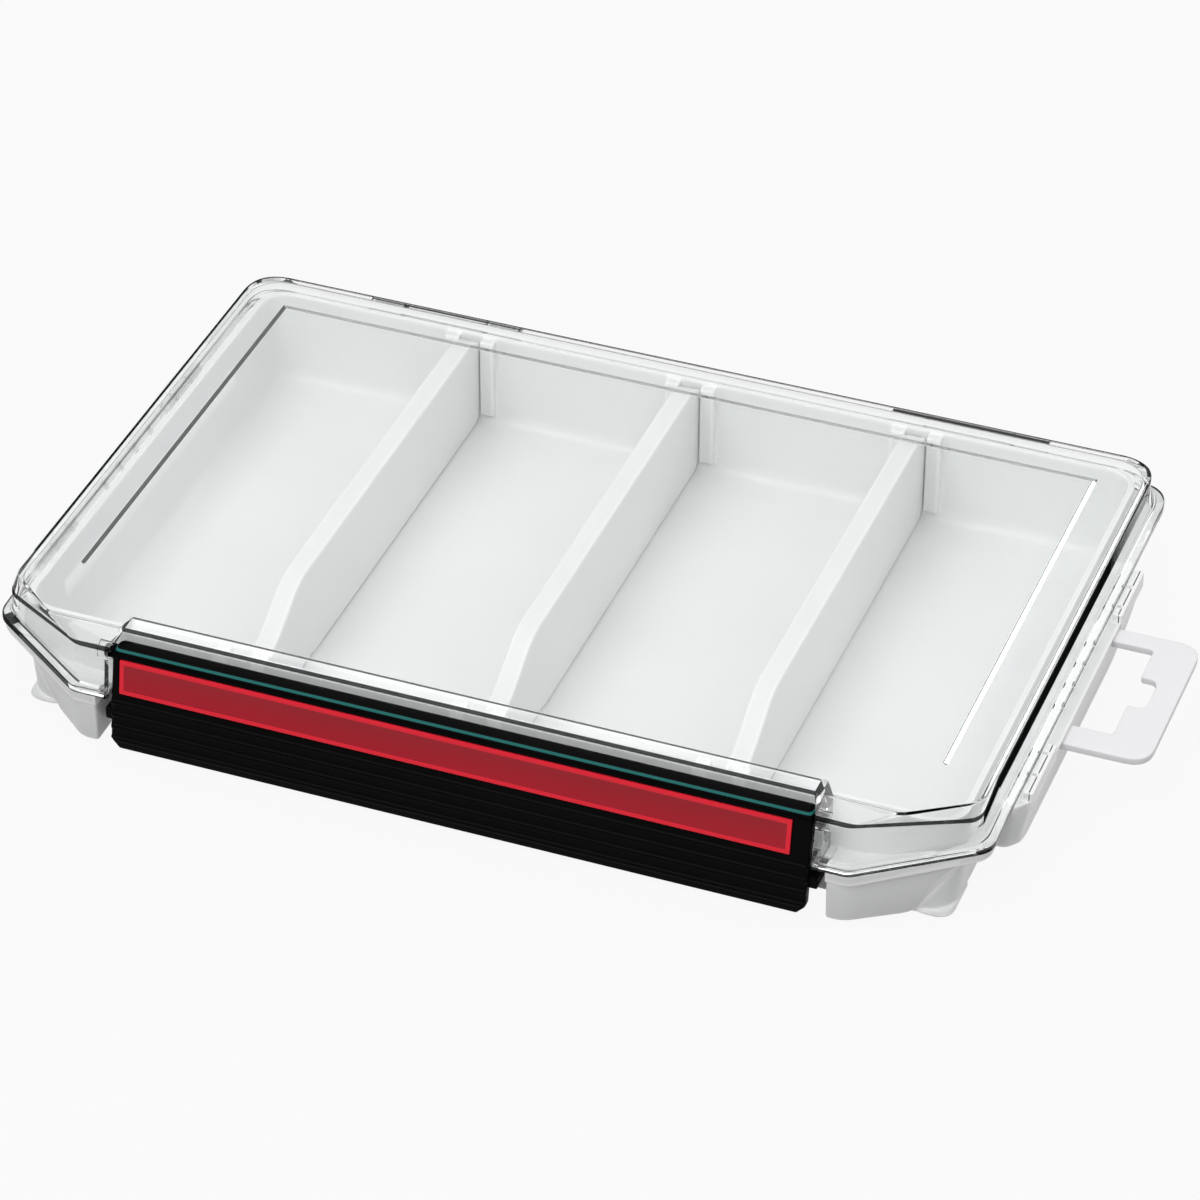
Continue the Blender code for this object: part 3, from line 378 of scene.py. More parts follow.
def makeStage():
    camera = bpy.data.objects.new("camera", bpy.data.cameras.new("camera"))
    camera.data.lens, camera.data.sensor_width = stage["lens"], stage["sensor"]
    camera.data.clip_start, camera.data.clip_end = stage["clip"]
    azimuth, rise, roll = (math.radians(stage[key]) for key in ("azimuth", "elevation", "roll"))
    forward = np.array([-math.sin(azimuth) * math.cos(rise), math.cos(azimuth) * math.cos(rise),
                        -math.sin(rise)])
    level = np.array([math.cos(azimuth), math.sin(azimuth), 0.0])
    up = np.cross(level, forward)
    right = level * math.cos(roll) + up * math.sin(roll)
    up = np.cross(right, forward)
    turn = np.stack([right, up, -forward], axis=1)
    camera.matrix_world = Matrix.Translation(stage["camera"]) @ Matrix(turn.tolist()).to_4x4()
    bpy.context.scene.collection.objects.link(camera)
    bpy.context.scene.camera = camera

    corner = np.array([(-1, -1, 0), (1, -1, 0), (1, 1, 0), (-1, 1, 0)]) * stage["floorHalf"]
    floor = objectOf("floor", {"points": corner - [0, 0, stage["floorDrop"]],
                               "loops": np.arange(4), "sizes": np.array([4])})
    # The floor looks white by its own glow, and keeps the object's shadow in what is left.
    material, tree, shader = materialOf("paleSweep")[:3]
    fill(tree, shader, {"Base Color": (*stage["floor"], 1.0), "Roughness": stage["floorRough"],
                        "Specular IOR Level": stage["floorShine"]})
    share = mathOf(tree, "MULTIPLY", seenRays(tree), stage["floorGlow"])
    glow = nodeOf(tree, "Emission")
    blend = nodeOf(tree, "MixShader", {0: share, 1: shader.outputs[0], 2: glow.outputs[0]})
    fill(tree, tree.nodes["Material Output"], {"Surface": blend.outputs[0]})
    floor.data.materials.append(material)

    world = bpy.data.worlds.new("studio")
    bpy.context.scene.world = world
    world.use_nodes = True
    tree = world.node_tree
    # Gloss and glass see a dark room under a bright ceiling. Other rays find a plain sky.
    parts = nodeOf(tree, "SeparateXYZ", {0: nodeOf(tree, "TexCoord").outputs["Generated"]})
    height = parts.outputs["Z"]
    ceiling = rangeOf(tree, height, stage["ceilingHeights"], stage["ceilingLight"], "SMOOTHSTEP")
    sky = rangeOf(tree, height, stage["skyHeights"], stage["skyLight"])
    seen = seenRays(tree)
    other = mathOf(tree, "MULTIPLY", mathOf(tree, "SUBTRACT", 1.0, seen), sky)
    strength = mathOf(tree, "MULTIPLY_ADD", seen, ceiling, other)
    fill(tree, tree.nodes["Background"], {"Color": (1, 1, 1, 1), "Strength": strength})

    bpy.context.scene.view_settings.view_transform = "Standard"


# 1 for rays from the camera and for those that gloss or glass sends on from it, and 0 once a
# dull surface has scattered them.
def seenRays(tree):
    path = nodeOf(tree, "LightPath").outputs
    glassy = mathOf(tree, "MAXIMUM", path["Is Glossy Ray"], path["Is Transmission Ray"])
    seen = mathOf(tree, "MAXIMUM", path["Is Camera Ray"], glassy)
    return mathOf(tree, "MULTIPLY", seen, mathOf(tree, "LESS_THAN", path["Diffuse Depth"], 0.5))


# Every lamp faces the frame's origin.
lamps = {
    "softKey": {"place": (-0.20, -0.70, 1.00), "size": 0.8, "power": 5.5},
    "overhead": {"place": (-0.15, 0.25, 0.95), "size": 0.7, "power": 0.6},
    "rightBack": {"place": (0.55, 0.90, 0.60), "size": 0.5, "power": 1.6},
    "rightFill": {"place": (0.95, -0.35, 0.80), "size": 0.7, "power": 1.2},
}


def makeLamps():
    for name, lamp in lamps.items():
        light = bpy.data.lights.new(name, "AREA")
        light.shape, light.size, light.energy = "SQUARE", lamp["size"], lamp["power"]
        item = bpy.data.objects.new(name, light)
        item.location = lamp["place"]
        item.rotation_euler = (-Vector(lamp["place"])).to_track_quat("-Z", "Y").to_euler()
        bpy.context.scene.collection.objects.link(item)


makeStage()
makeLamps()
print("camera, floor and lamps set")

tub = {
    "bottom": (98.2, 64.5, -60.7), "shoulder": (99.6, 65.1, -60.7),
    "wallTop": (99.4, 64.8, -59.9), "hollowTop": (98.0, 63.7, -58.8),
    "hollowFloor": (96.0, 63.1, -57.8), "capInsets": (1.2, 6.0, 9.0),
    "floorTop": 2.3, "rimTop": 23.5, "toe": 1.2, "floorFillet": 4.0,
    "rimHalf": 104.6, "rimBack": 68.8, "rimCornerY": -57.3, "rimFrontHalf": 81.7,
    "rimFront": -69.8, "column": 76.9, "lip": -64.5, "breakY": -45.5,
    "rimUnder": (15.8, 15.0, 10.6), "rimOver": (17.35, 16.55, 13.05),
    "postPitch": 50.7, "postNear": 2.5, "postWide": 3.1, "postHeights": (3.9, 23.1),
    "postEnds": ((61.5, 64.2), (-56.5, -59.3)),
    # The tub's finish carries the painted edge highlight.
    "finish": {**moulded, **edgeHighlightLook, "dark": (0.755, 0.765, 0.762),
               "light": (0.825, 0.833, 0.832), "cloudScale": 26.0, "marks": 0.10,
               "shine": 0.45, "coat": 0.10},
}


# One level of the tub: the right half's six corners, all on the box half, back, front.
def tubLevel(half, back, front, heights, backCut, frontCut):
    side, corner, nose = heights
    return bothSides([
        (half, back, side, backCut), (half, tub["breakY"], side, 0),
        (half, front, corner, frontCut)], [
        (tub["rimFrontHalf"], front, nose, 1.0), (tub["column"], front, nose, 0.3),
        (tub["column"] - 0.8, front, nose, 0.3)])


# One level of the rim, which follows the lid's flange and steps in behind the latch.
def rimLevel(heights, inset):
    side, corner, nose = heights
    half, column = tub["rimHalf"] - inset, tub["column"] + inset
    return bothSides([
        (half, tub["rimBack"] - inset, side, 8.0), (half, tub["breakY"], side, 0),
        (half, tub["rimCornerY"] + inset * 0.6, corner, 2.5)], [
        (tub["rimFrontHalf"] - inset * 0.3, tub["rimFront"] + inset, nose, 1.2),
        (column, tub["rimFront"] + inset, nose, 0.3), (column, tub["lip"] + inset, nose, 0.3)])


# The whole tub is one surface: underside, wall, rim, upstand, hollow and floor.
def tubShell():
    under, over = tub["rimUnder"], tub["rimOver"]
    foot, deep, mid = (
        [half - inset, back - inset, front + inset] for (half, back, front), inset
        in zip((tub["bottom"], tub["bottom"], tub["hollowFloor"]), tub["capInsets"]))
    flat, high, low = (0, 0, 0), (tub["rimTop"],) * 3, (tub["floorTop"],) * 3
    stations = np.array([
        tubLevel(*deep, flat, 4, 4), tubLevel(*foot, flat, 7, 7),
        tubLevel(*tub["bottom"], (tub["toe"],) * 3, 7, 7),
        tubLevel(*tub["shoulder"], under, 7, 11), rimLevel(under, 0), rimLevel(over, 0),
        tubLevel(*tub["shoulder"], over, 7, 11), tubLevel(*tub["wallTop"], high, 7, 12),
        tubLevel(*tub["hollowTop"], high, 6, 11), tubLevel(*tub["hollowFloor"], low, 6, 11),
        tubLevel(*mid, low, 3, 5)])
    cuts = (0, 0.5, 0.6, 0.3, 0.35, 0.35, 0.3, 0.3, 0.4, tub["floorFillet"], 0)
    tracks = softTrack(stations, cuts, 6)
    right = [12, 0, 10, 5, 2, 2]
    return shellOf(roundOutline(tracks, right + right[::-1]))


# low and high outline a front corner's block at its bottom and top: the side's x, the y where
# the slanting wall starts, the x where it ends, the front's y, and two points on the tub's
# wall. Heights come in pairs, at the side and at the front.
pod = {
    "low": (91.5, -61.4, 80.8, -69.2, (85.0, -59.5), (89.5, -58.6)),
    "high": (100.6, -58.8, 80.9, -69.6, (88.0, -59.8), (95.2, -56.7)),
    "gap": 0.2, "back": -59.7, "wall": 1.6, "bottom": (1.5, 1.5), "pocket": (13.2, 8.6),
    "top": (15.5, 11.1), "cap": (15.6, 11.2),
}


# The skirted block under a front corner: pocket inside, then outside up from the bottom.
def podShell(hand):
    def level(side, sideY, outer, front, near, far, inset, heights):
        column = tub["column"] + pod["gap"] + inset
        corners = np.array([
            (side - inset, sideY + 4.5, heights[0], 0.0),
            (side - inset, sideY + inset * 0.3, heights[0], 3.0),
            (outer - inset * 0.5, front + inset, heights[1], 2.0),
            (column, front + inset, heights[1], 0.7), (column, pod["back"], heights[1], 0.3),
            (near[0], near[1] - inset * 0.1, heights[1], 0.0),
            (far[0], far[1] - inset * 0.1, heights[0], 0.0)])
        corners[:, 0] = hand * corners[:, 0] + frontShift * np.array([0, 0, 1, 1, 1, 0, 0])
        return corners
    low, high, wall = pod["low"], pod["high"], pod["wall"]
    stations = np.array([
        level(*high, 3.0, pod["pocket"]), level(*high, wall, pod["pocket"]),
        level(*low, wall, pod["bottom"]), level(*low, 0, pod["bottom"]),
        level(*high, 0, pod["top"]), level(*high, 1.5, pod["cap"])])
    tracks = softTrack(stations, (0, 0.8, 0.4, 0.4, 0.2, 0))
    return shellOf(roundOutline(tracks, (0, 6, 6, 4, 2, 0, 0)))


footPad = {"near": 90.7, "far": 98.6, "front": -61.1, "long": 12.9,
           "levels": ((3.2, 0.15), (1.2, 0.15), (0, 1.3), (0.4, 2.1))}


# A low rounded foot. Each of its levels has an inset and a height.
def footShell():
    levels = []
    for inset, z in footPad["levels"]:
        near, far = footPad["near"] + inset, footPad["far"] - inset
        front = footPad["front"] + inset
        back = front + footPad["long"] - 2 * inset
        levels.append([(near, back, z, 2), (far, back, z, 2), (far, front, z, 3.5),
                       (near, front, z, 2)])
    tracks = softTrack(np.array(levels), (0, 0.4, 0.3, 0))
    return shellOf(roundOutline(tracks, (5, 5, 7, 5)))


ear = {"out": 107.7, "back": 38.5, "front": -40.0, "round": 11.0, "heights": (1.0, 17.3),
       "lean": 3.3, "leanTop": 17.7, "root": 97.9, "wall": 2.4, "corner": 1.2,
       "lug": 16.5, "lugHeights": (15.5, 19.1), "lugRoot": 105.6, "lugWall": 1.1,
       "lugLap": 0.6, "slits": (32.3, 25.1, -33.8, -26.6), "slitWide": 0.9}


# The ear's outer face leans in towards the bottom; each end is a quarter circle seen from
# the side, so it moves in by r (1 - sqrt(1 - (1 - h/r)^2)) at height h.
def earShell():
    (bottom, top), radius, corner = ear["heights"], ear["round"], ear["corner"]
    lift = radius * (1 - np.cos(np.linspace(0, math.pi / 2, 9)))
    lift = np.concatenate([lift, [top - bottom]])
    z = bottom + lift
    out = ear["out"] - ear["lean"] + ear["lean"] * lift / (ear["leanTop"] - bottom)
    up = np.minimum(lift / radius, 1.0)
    setback = radius * (1 - np.sqrt(np.maximum(1 - (1 - up) ** 2, 0.0)))
    back, front = ear["back"] - setback, ear["front"] + setback
    root = np.full_like(z, ear["root"])

    def level(inset, rows):
        o, b, f = out[rows] - inset, back[rows] - inset, front[rows] + inset
        plan = [(root[rows], b + 3.0, 0.0), (o - ear["wall"], b + 3.0, corner), (o, b, corner),
                (o, f, corner), (o - ear["wall"], f - 3.0, corner), (root[rows], f - 3.0, 0.0)]
        return np.stack([np.stack([x, y, z[rows], np.full_like(x, cut)], axis=1)
                         for x, y, cut in plan], axis=1)
    every = np.arange(len(z))
    stations = np.concatenate([level(2.2, every[:1]), level(0, every), level(2.2, every[-1:])])
    cuts = [0, 0.5] + [0] * (len(z) - 2) + [0.4, 0]
    return shellOf(roundOutline(softTrack(stations, cuts), (0, 4, 4, 4, 4, 0)))


# A lug on the ear's end: a thin outer wall and three blocks parted by two slits.
def lugShells(low, high, slits):
    out, (foot, top), half = ear["out"], ear["lugHeights"], ear["slitWide"] / 2
    shells = [blockOf((out - ear["lugWall"], low, foot), (out, high, top), 0.2, 0.3)]
    edges = [low] + [edge for y in sorted(slits) for edge in (y - half, y + half)] + [high]
    for start, end in zip(edges[::2], edges[1::2]):
        shells.append(blockOf((ear["lugRoot"], start, foot), (out - ear["lugLap"], end, top), 0.2))
    return shells


# The pairs of posts that hold each divider's ends.
def postShells():
    foot, top = tub["postHeights"]
    shells = []
    for middle in (-tub["postPitch"], 0, tub["postPitch"]):
        for side in (-1, 1):
            near = middle + side * tub["postNear"]
            low, high = sorted((near, near + side * tub["postWide"]))
            for face, wall in tub["postEnds"]:
                plan = [(face, foot, 1.2), (wall, foot, 0), (wall, top, 0), (face, top, 0.7)]
                shells.append(prismOf(plan, low, high, 0.5, "wuv"))
    return shells


# Where each part's knuckles lie along the right hinge. The left one is its mirror image.
hinge = {"y": 69.5, "z": 16.4, "radius": 2.3, "bore": 1.3, "clear": 2.65, "play": 0.3,
         "tubParts": ((43.0, 50.0), (70.0, 77.0)), "lidPart": (50.0, 70.0),
         "pinHole": (42.0, 78.0)}


def makeTub():
    shells = [tubShell(), podShell(1), podShell(-1)] + postShells()
    right = [footShell(), earShell()]
    right += lugShells(ear["back"] - ear["lug"], ear["back"], ear["slits"][:2])
    right += lugShells(ear["front"], ear["front"] + ear["lug"], ear["slits"][2:])
    for inner, outer in hinge["tubParts"]:
        right.append(tubeOf(inner, outer, hinge["y"], hinge["z"], hinge["radius"], hinge["bore"]))
    shells += right + [mirrored(shell) for shell in right]
    material = mouldedPlastic("palePlastic", tub["finish"])[0]
    makePiece(objectOf("tub", joinShells(shells)), ["base_tray"], "tray", material)


makeTub()

divider = {
    "pitch": 50.7, "half": 2.2, "edge": 0.55,
    "section": [(60.6, 2.6, 0.8), (62.8, 5.2, 0.8), (62.8, 22.2, 0.5), (58.4, 24.65, 1.5),
                (-34.5, 24.65, 4.0), (-44.0, 18.5, 4.0), (-57.1, 13.0, 0.8), (-57.1, 5.6, 0.8),
                (-54.1, 2.6, 0.8)],
    # The dividers' finish carries the painted edge highlight.
    "finish": {**moulded, **edgeHighlightLook, "dark": (0.765, 0.775, 0.773),
               "light": (0.835, 0.843, 0.843), "cloudScale": 30.0, "rough": 0.28,
               "bump": 0.08, "shine": 0.45, "coat": 0.12},
}


def makeDividers():
    material = mouldedPlastic("dividerPlastic", divider["finish"])[0]
    for name, place in (("left", -1), ("middle", 0), ("right", 1)):
        middle = place * divider["pitch"]
        shell = prismOf(divider["section"], middle - divider["half"], middle + divider["half"],
                        divider["edge"], "wuv")
        makePiece(objectOf("divider" + name.capitalize(), shell), ["divider_" + name], "tray",
                  material)


makeDividers()

lid = {
    "edge": (102.5, 66.5, -57.5, 81.0, -68.3, 74.1, -61.7), "edgeZ": (26.5, 24.3, 24.3, 24.9),
    "top": (102.1, 66.1, -55.0, 90.0, -63.9, 72.4, -59.6), "topZ": 27.0, "ceiling": 25.5,
    "seam": (104.2, 68.2, -57.0, 81.3, -69.5, 74.1, -62.5), "seamZ": (17.7, 16.9, 13.4, 13.4),
    "wall": 1.3, "upright": 3.3, "foot": -0.6, "breakY": -45.5,
    "flangeOut": 0.9, "flangeTall": 1.6, "flangeBlend": 0.6,
    "ribHalf": 92.0, "ribBack": 56.6, "ribFront": -45.5, "ribWide": 1.0, "ribDeep": 0.5,
    "pivot": (-65.4, 22.2), "pivotBore": 1.8, "cheek": (73.1, 76.9),
    "marksAt": [0.8 + 7.3 * step for step in (-1.5, -0.5, 0.5, 1.5)], "markWidths": (1.3, 0.8),
    "markX": (104.5, 107.1), "markZ": (16.7, 18.6),
    "tint": (0.99, 0.997, 0.995), "rough": 0.0, "bend": 1.49, "shadowTint": (0.95, 0.96, 0.96),
    "ripple": {"Grain Scale": 160.0, "Cloud Scale": 22.0},
    "rippleBump": {"Strength": 0.004, "Distance": 0.0004},
    # The painted shade's dark colour, its cover and threshold, and where it reaches.
    "paintedShade": (0.006, 0.008, 0.007), "paintedShadeCover": 0.92, "paintedShadeFrom": 0.90, "halfPaintedShade": 0.8,
    "paintedShadeLeftOf": -84.0, "paintedShadeAheadOf": -57.0, "halfPaintedShadeX": (-81.5, 72.0), "backFlank": 0.45,
    "bandRamp": (8.0, -4.6), "bandPlace": (0.030, 0.052), "bandShare": (1.0, 0.35),
}


# One level of the lid: sizes are x and y of its outline, from the back round to the notch.
def lidLevel(sizes, heights, inset):
    half, back, cornerY, frontHalf, front, notchHalf, notchY = sizes
    side, corner, nose, notch = heights
    slant, cheek = inset * 0.6, notchHalf + inset
    return bothSides([
        (half - inset, back - inset, side, 8.0), (half - inset, lid["breakY"], side, 0),
        (half - inset, cornerY + slant, corner, 2.5)], [
        (frontHalf - slant * 0.5, front + inset, nose, 1.2), (cheek, front + inset, nose, 0.3),
        (cheek, notchY + inset, notch, 0.3)])


# The seam's outline, lifted, and let outward past the wall for the flange.
def seamLevel(lift, outward, inset):
    half, back, cornerY, frontHalf, front, notchHalf, notchY = lid["seam"]
    sizes = (half + outward, back + outward, cornerY - outward * 0.5, frontHalf + outward * 0.5,
             front - outward, notchHalf, notchY)
    return lidLevel(sizes, [z + lift for z in lid["seamZ"]], inset)


# The walls hang straight down from the edge, and the notch's own wall keeps its lean.
def wallLevel(drop, inset):
    sizes = lid["edge"][:-1] + (lid["edge"][-1] - 0.07 * drop,)
    return lidLevel(sizes, [z - drop for z in lid["edgeZ"]], inset)


# One closed surface: ceiling, inner wall, seam, flange, outer wall and top.
def lidShell():
    wall, out = lid["wall"], lid["flangeOut"]
    tall, blend = lid["flangeTall"], lid["flangeBlend"]
    stations = np.array([
        lidLevel(lid["top"], [lid["ceiling"]] * 4, wall * 0.8 + 2.5),
        lidLevel(lid["top"], [lid["ceiling"]] * 4, wall * 0.8),
        wallLevel(1.5, wall), wallLevel(lid["upright"] + 0.25, wall),
        seamLevel(0, 0, wall), seamLevel(0, out, 0), seamLevel(tall, out, 0),
        seamLevel(tall + blend, lid["foot"], 0), wallLevel(lid["upright"], 0), wallLevel(0, 0),
        lidLevel(lid["top"], [lid["topZ"]] * 4, 0), lidLevel(lid["top"], [lid["topZ"]] * 4, 2.5)])
    cuts = (0, 0.2, 0.2, 0.3, 0.15, 0.3, 0.25, 0.3, 0.4, 0.22, 0.2, 0)
    tracks = softTrack(stations, cuts)
    right = [12, 0, 8, 5, 2, 2]
    rings = roundOutline(tracks, right + right[::-1])
    shell = shellOf(rings)
    # Some edges get a painted shade, a dark surface mixed into the clear plastic, where it would
    # look dark as it turns light inwards: the flange's lower edge and the walls' upper edge all
    # round, the top's edge at the back and the left, and the flange's upper edges at the front's
    # left corner. Stations are counted from 0.
    row = np.repeat(np.arange(len(cuts)), [5 if cut else 1 for cut in cuts])[:, None]
    x, y = rings[..., 0], rings[..., 1]
    ahead, left = y < lid["paintedShadeAheadOf"], x < lid["paintedShadeLeftOf"]
    dark = (row == 5) | (row == 9) | (((row == 6) | (row == 7)) & ahead & left)
    dark |= (row == 10) & ((y > 60) | ((x < -100) & (y > lid["breakY"] - 0.1)))
    # Just below the threshold, the half value lets the front's lower painted dark line climb half
    # the flange.
    leftEnd, gap = lid["halfPaintedShadeX"]
    half = (row == 6) & ahead & (x > leftEnd) & (np.abs(x) > gap)
    shell["paintedShade"] = np.maximum(dark, lid["halfPaintedShade"] * half).reshape(-1)
    return shell


# Where the flange's dots and slits lie along y, and how wide each of them is.
def lidMarks():
    dot, slit = lid["markWidths"]
    return [(at, dot) for at in lid["marksAt"]] + [(at, slit) for at in ear["slits"]]


# The frame rib under the lid's top. Its section is a triangle whose point is ribDeep below
# the ceiling, halfway across.
def ribShell():
    half, back, front = lid["ribHalf"], lid["ribBack"], lid["ribFront"]
    wide, ceiling = lid["ribWide"], lid["ceiling"]
    path = np.array([(-half, front), (-half, back), (half, back), (half, front)])
    within = np.array([(wide, 0), (wide, -wide), (-wide, -wide), (-wide, 0)])
    rows = []
    for share, z in ((0, ceiling + 0.3), (0, ceiling), (0.5, ceiling - lid["ribDeep"]),
                     (1, ceiling), (1, ceiling + 0.3)):
        line = path + within * share
        rows.append(np.stack([line[:, 0], line[:, 1], np.full(4, z)], axis=1))
    return shellOf(np.array(rows).transpose(1, 0, 2))


# What is added to the lid's shell and then cut from it, in order.
def lidTools():
    y, z, play = hinge["y"], hinge["z"], hinge["play"]
    webs, knuckles, reliefs, holes = [], [], [], []
    inner, outer = hinge["lidPart"]
    bottom, top = lid["markZ"]
    for side in (-1, 1):
        low, high = sorted((side * (inner + play), side * (outer - play)))
        webs.append(blockOf((low, y - 2.3, z + 0.3), (high, y, z + 4.1), 0.2))
        knuckles.append(turnedOf((low, low + 0.3, high - 0.3, high), (2.0, 2.3, 2.3, 2.0), y, z))
        for near, far in hinge["tubParts"]:
            low, high = sorted((side * (near - play), side * (far + play)))
            reliefs.append(turnedOf((low, high), (hinge["clear"],) * 2, y, z))
        low, high = sorted(side * end for end in hinge["pinHole"])
        holes.append(turnedOf((low, high), (hinge["bore"],) * 2, y, z))
        low, high = sorted(frontShift + side * end for end in lid["cheek"])
        holes.append(turnedOf((low, high), (lid["pivotBore"],) * 2, *lid["pivot"], 32))
        low, high = sorted(side * end for end in lid["markX"])
        for place, width in lidMarks():
            near, far = place - width / 2, place + width / 2
            holes.append(blockOf((low, near, bottom), (high, far, top), 0.1))
    groups = (("UNION", "webs", webs), ("UNION", "knuckles", knuckles),
              ("DIFFERENCE", "reliefs", reliefs), ("DIFFERENCE", "holes", holes))
    return [("UNION", objectOf("rib", ribShell()))] + [
        (operation, objectOf(name, joinShells(shells))) for operation, name, shells in groups]


# The right wall's upright face takes the second material, whose band is a painted shade.
# The rib's outer flank and the walls of the flange's marks get a painted shade too.
def shadeLid(mesh):
    middles, normals = np.empty((2, len(mesh.polygons) * 3))
    mesh.polygons.foreach_get("center", middles)
    mesh.polygons.foreach_get("normal", normals)
    x, y, z = middles.reshape(-1, 3).T * 1000
    leftward, backward = -normals[0::3], normals[1::3]
    low, high = lid["edgeZ"][0] - lid["upright"], lid["edgeZ"][0]
    band = (x > lid["edge"][0] - 0.05) & (z > low - 0.2) & (z < high + 0.1)
    mesh.polygons.foreach_set("material_index", band.astype(np.int32))
    flank = (z < lid["ceiling"] - 0.05) & (z > lid["ceiling"] - lid["ribDeep"] - 0.05)
    flank &= (((leftward > 0.3) & (np.abs(x + lid["ribHalf"]) < lid["ribWide"]))
              | ((backward > 0.3) & (np.abs(y - lid["ribBack"]) < lid["ribWide"])))
    low, high = lid["markZ"]
    inMark = np.zeros(len(x), bool)
    for place, width in lidMarks():
        inMark |= np.abs(y - place) < width / 2 + 0.01
    inMark &= (z > low - 0.2) & (z < high + 0.1) & (np.abs(x) > lid["markX"][0] - 0.05)
    # Painted shade: full on the left flank and in the marks, weaker on the back flank.
    shade = np.where(flank, np.where(backward > 0.3, lid["backFlank"], 1.0), 0.0)
    shade = np.where(inMark, 1.0, shade)
    mesh.attributes.new("paintedShadeFace", "FLOAT", "FACE").data.foreach_set("value", shade)


def makeLid():
    piece = objectOf("lidShell", lidShell())
    carve(piece, lidTools())
    makePiece(piece, ["lid"], "cover", clearPlastic("clearPlastic", False), 26)
    piece.data.materials.append(clearPlastic("clearWallPaintedShade", True))
    shadeLid(piece.data)


# Clear plastic with a faint ripple from the mould. Shadow rays pass, so that the tub is lit.
# With edge, outside faces get a painted shade where they are seen at a low angle, less so at
# the back.
def clearPlastic(name, edge):
    material, tree, shader, where = materialOf(name)
    paintedShade, shade = (nodeOf(tree, "Attribute", attribute_name=attribute).outputs["Fac"]
                  for attribute in ("paintedShade", "paintedShadeFace"))
    # Painted shade: past a threshold the point mask, with the face value, mixes in a dark surface.
    paintedShade = mathOf(tree, "GREATER_THAN", paintedShade, lid["paintedShadeFrom"])
    amount = mathOf(tree, "MULTIPLY", mathOf(tree, "MAXIMUM", paintedShade, shade), lid["paintedShadeCover"])
    ripple = nodeOf(tree, "Group", {"Vector": where, **lid["ripple"]}, node_tree=mouldGrain)
    bump = nodeOf(tree, "Bump", {**lid["rippleBump"], "Height": ripple.outputs["Cloud"]})
    fill(tree, shader, {
        "Base Color": (*lid["tint"], 1.0), "Transmission Weight": 1.0, "IOR": lid["bend"],
        "Roughness": lid["rough"], "Normal": bump.outputs["Normal"]})
    if edge:
        # Painted shade band: darker by viewing angle on outside faces, fading towards the back.
        facing = nodeOf(tree, "LayerWeight").outputs["Facing"]
        low = mathOf(tree, "MULTIPLY_ADD", facing, *lid["bandRamp"])
        low = mathOf(tree, "MINIMUM", mathOf(tree, "MAXIMUM", low, 0.0), 1.0)
        place = nodeOf(tree, "SeparateXYZ", {0: where}).outputs["Y"]
        fade = rangeOf(tree, place, lid["bandPlace"], lid["bandShare"])
        inside = nodeOf(tree, "NewGeometry").outputs["Backfacing"]
        outside = mathOf(tree, "SUBTRACT", 1.0, inside)
        low = mathOf(tree, "MULTIPLY", mathOf(tree, "MULTIPLY", low, fade), outside)
        amount = mathOf(tree, "MAXIMUM", amount, low)
    dark = nodeOf(tree, "BsdfDiffuse", {"Color": (*lid["paintedShade"], 1.0)})
    clear = nodeOf(tree, "BsdfTransparent", {"Color": (*lid["shadowTint"], 1.0)})
    cover = nodeOf(tree, "MixShader", {0: amount, 1: shader.outputs[0], 2: dark.outputs[0]})
    passing = nodeOf(tree, "LightPath").outputs["Is Shadow Ray"]
    blend = nodeOf(tree, "MixShader", {0: passing, 1: cover.outputs[0], 2: clear.outputs[0]})
    fill(tree, tree.nodes["Material Output"], {"Surface": blend.outputs[0]})
    return material


makeLid()

latch = {
    "y": -65.4, "z": 22.2, "bead": 2.5, "beadTurn": 198, "beadJoin": 3.8, "slope": 0.1386,
    "thick": 2.0, "bow": 0.15, "bottom": 2.0, "half": 73.5, "endRound": 0.5, "endPull": 0.3,
    "cornerCut": 1.8, "topRound": 1.6, "ribs": (4.2, 7.0, 9.8, 12.6), "ribHalf": 0.3,
    "ribOut": 0.43, "ribTall": 0.7, "recess": (14.5, 22.5, 0.8, 70.9), "stub": (75.7, 1.5),
    "hook": {"half": 75.2, "inset": 0.8, "low": 7.6, "nose": 8.6, "high": 10.2, "tip": -63.0,
             "chin": -64.0},
    "strip": {"half": 70.6, "shift": -2.4, "low": 14.8, "high": 22.2, "proud": 0.2,
              "field": 0.10, "frame": 0.9, "deep": 0.5, "border": (0.90, 0.022, 0.045),
              "finish": {**moulded, "dark": (0.40, 0.010, 0.022), "light": (0.46, 0.014, 0.028),
                         "grainScale": 2200.0, "cloudScale": 50.0, "roughSpread": 0.08,
                         "shine": 0.20}},
    "finish": {**moulded, "dark": (0.0012, 0.0012, 0.0014), "light": (0.0030, 0.0030, 0.0032),
               "grainScale": 2200.0, "cloudScale": 40.0, "marks": 0.12, "bump": 0.12,
               "shine": 0.03},
    # Colour and heights of a painted highlight on the bead's front shoulder.
    "line": (0.022, 0.15, 0.14), "paintedHighlightZ": (23.80, 24.20),
}


# The latch's front face: it leans outwards by slope as it goes down, with the bow 4b u(1-u).
def latchFace(z):
    drop = (latch["z"] - z) / (latch["z"] - latch["bottom"])
    return (latch["y"] - latch["bead"] - latch["slope"] * (latch["z"] - z)
            - 4 * latch["bow"] * drop * (1 - drop))


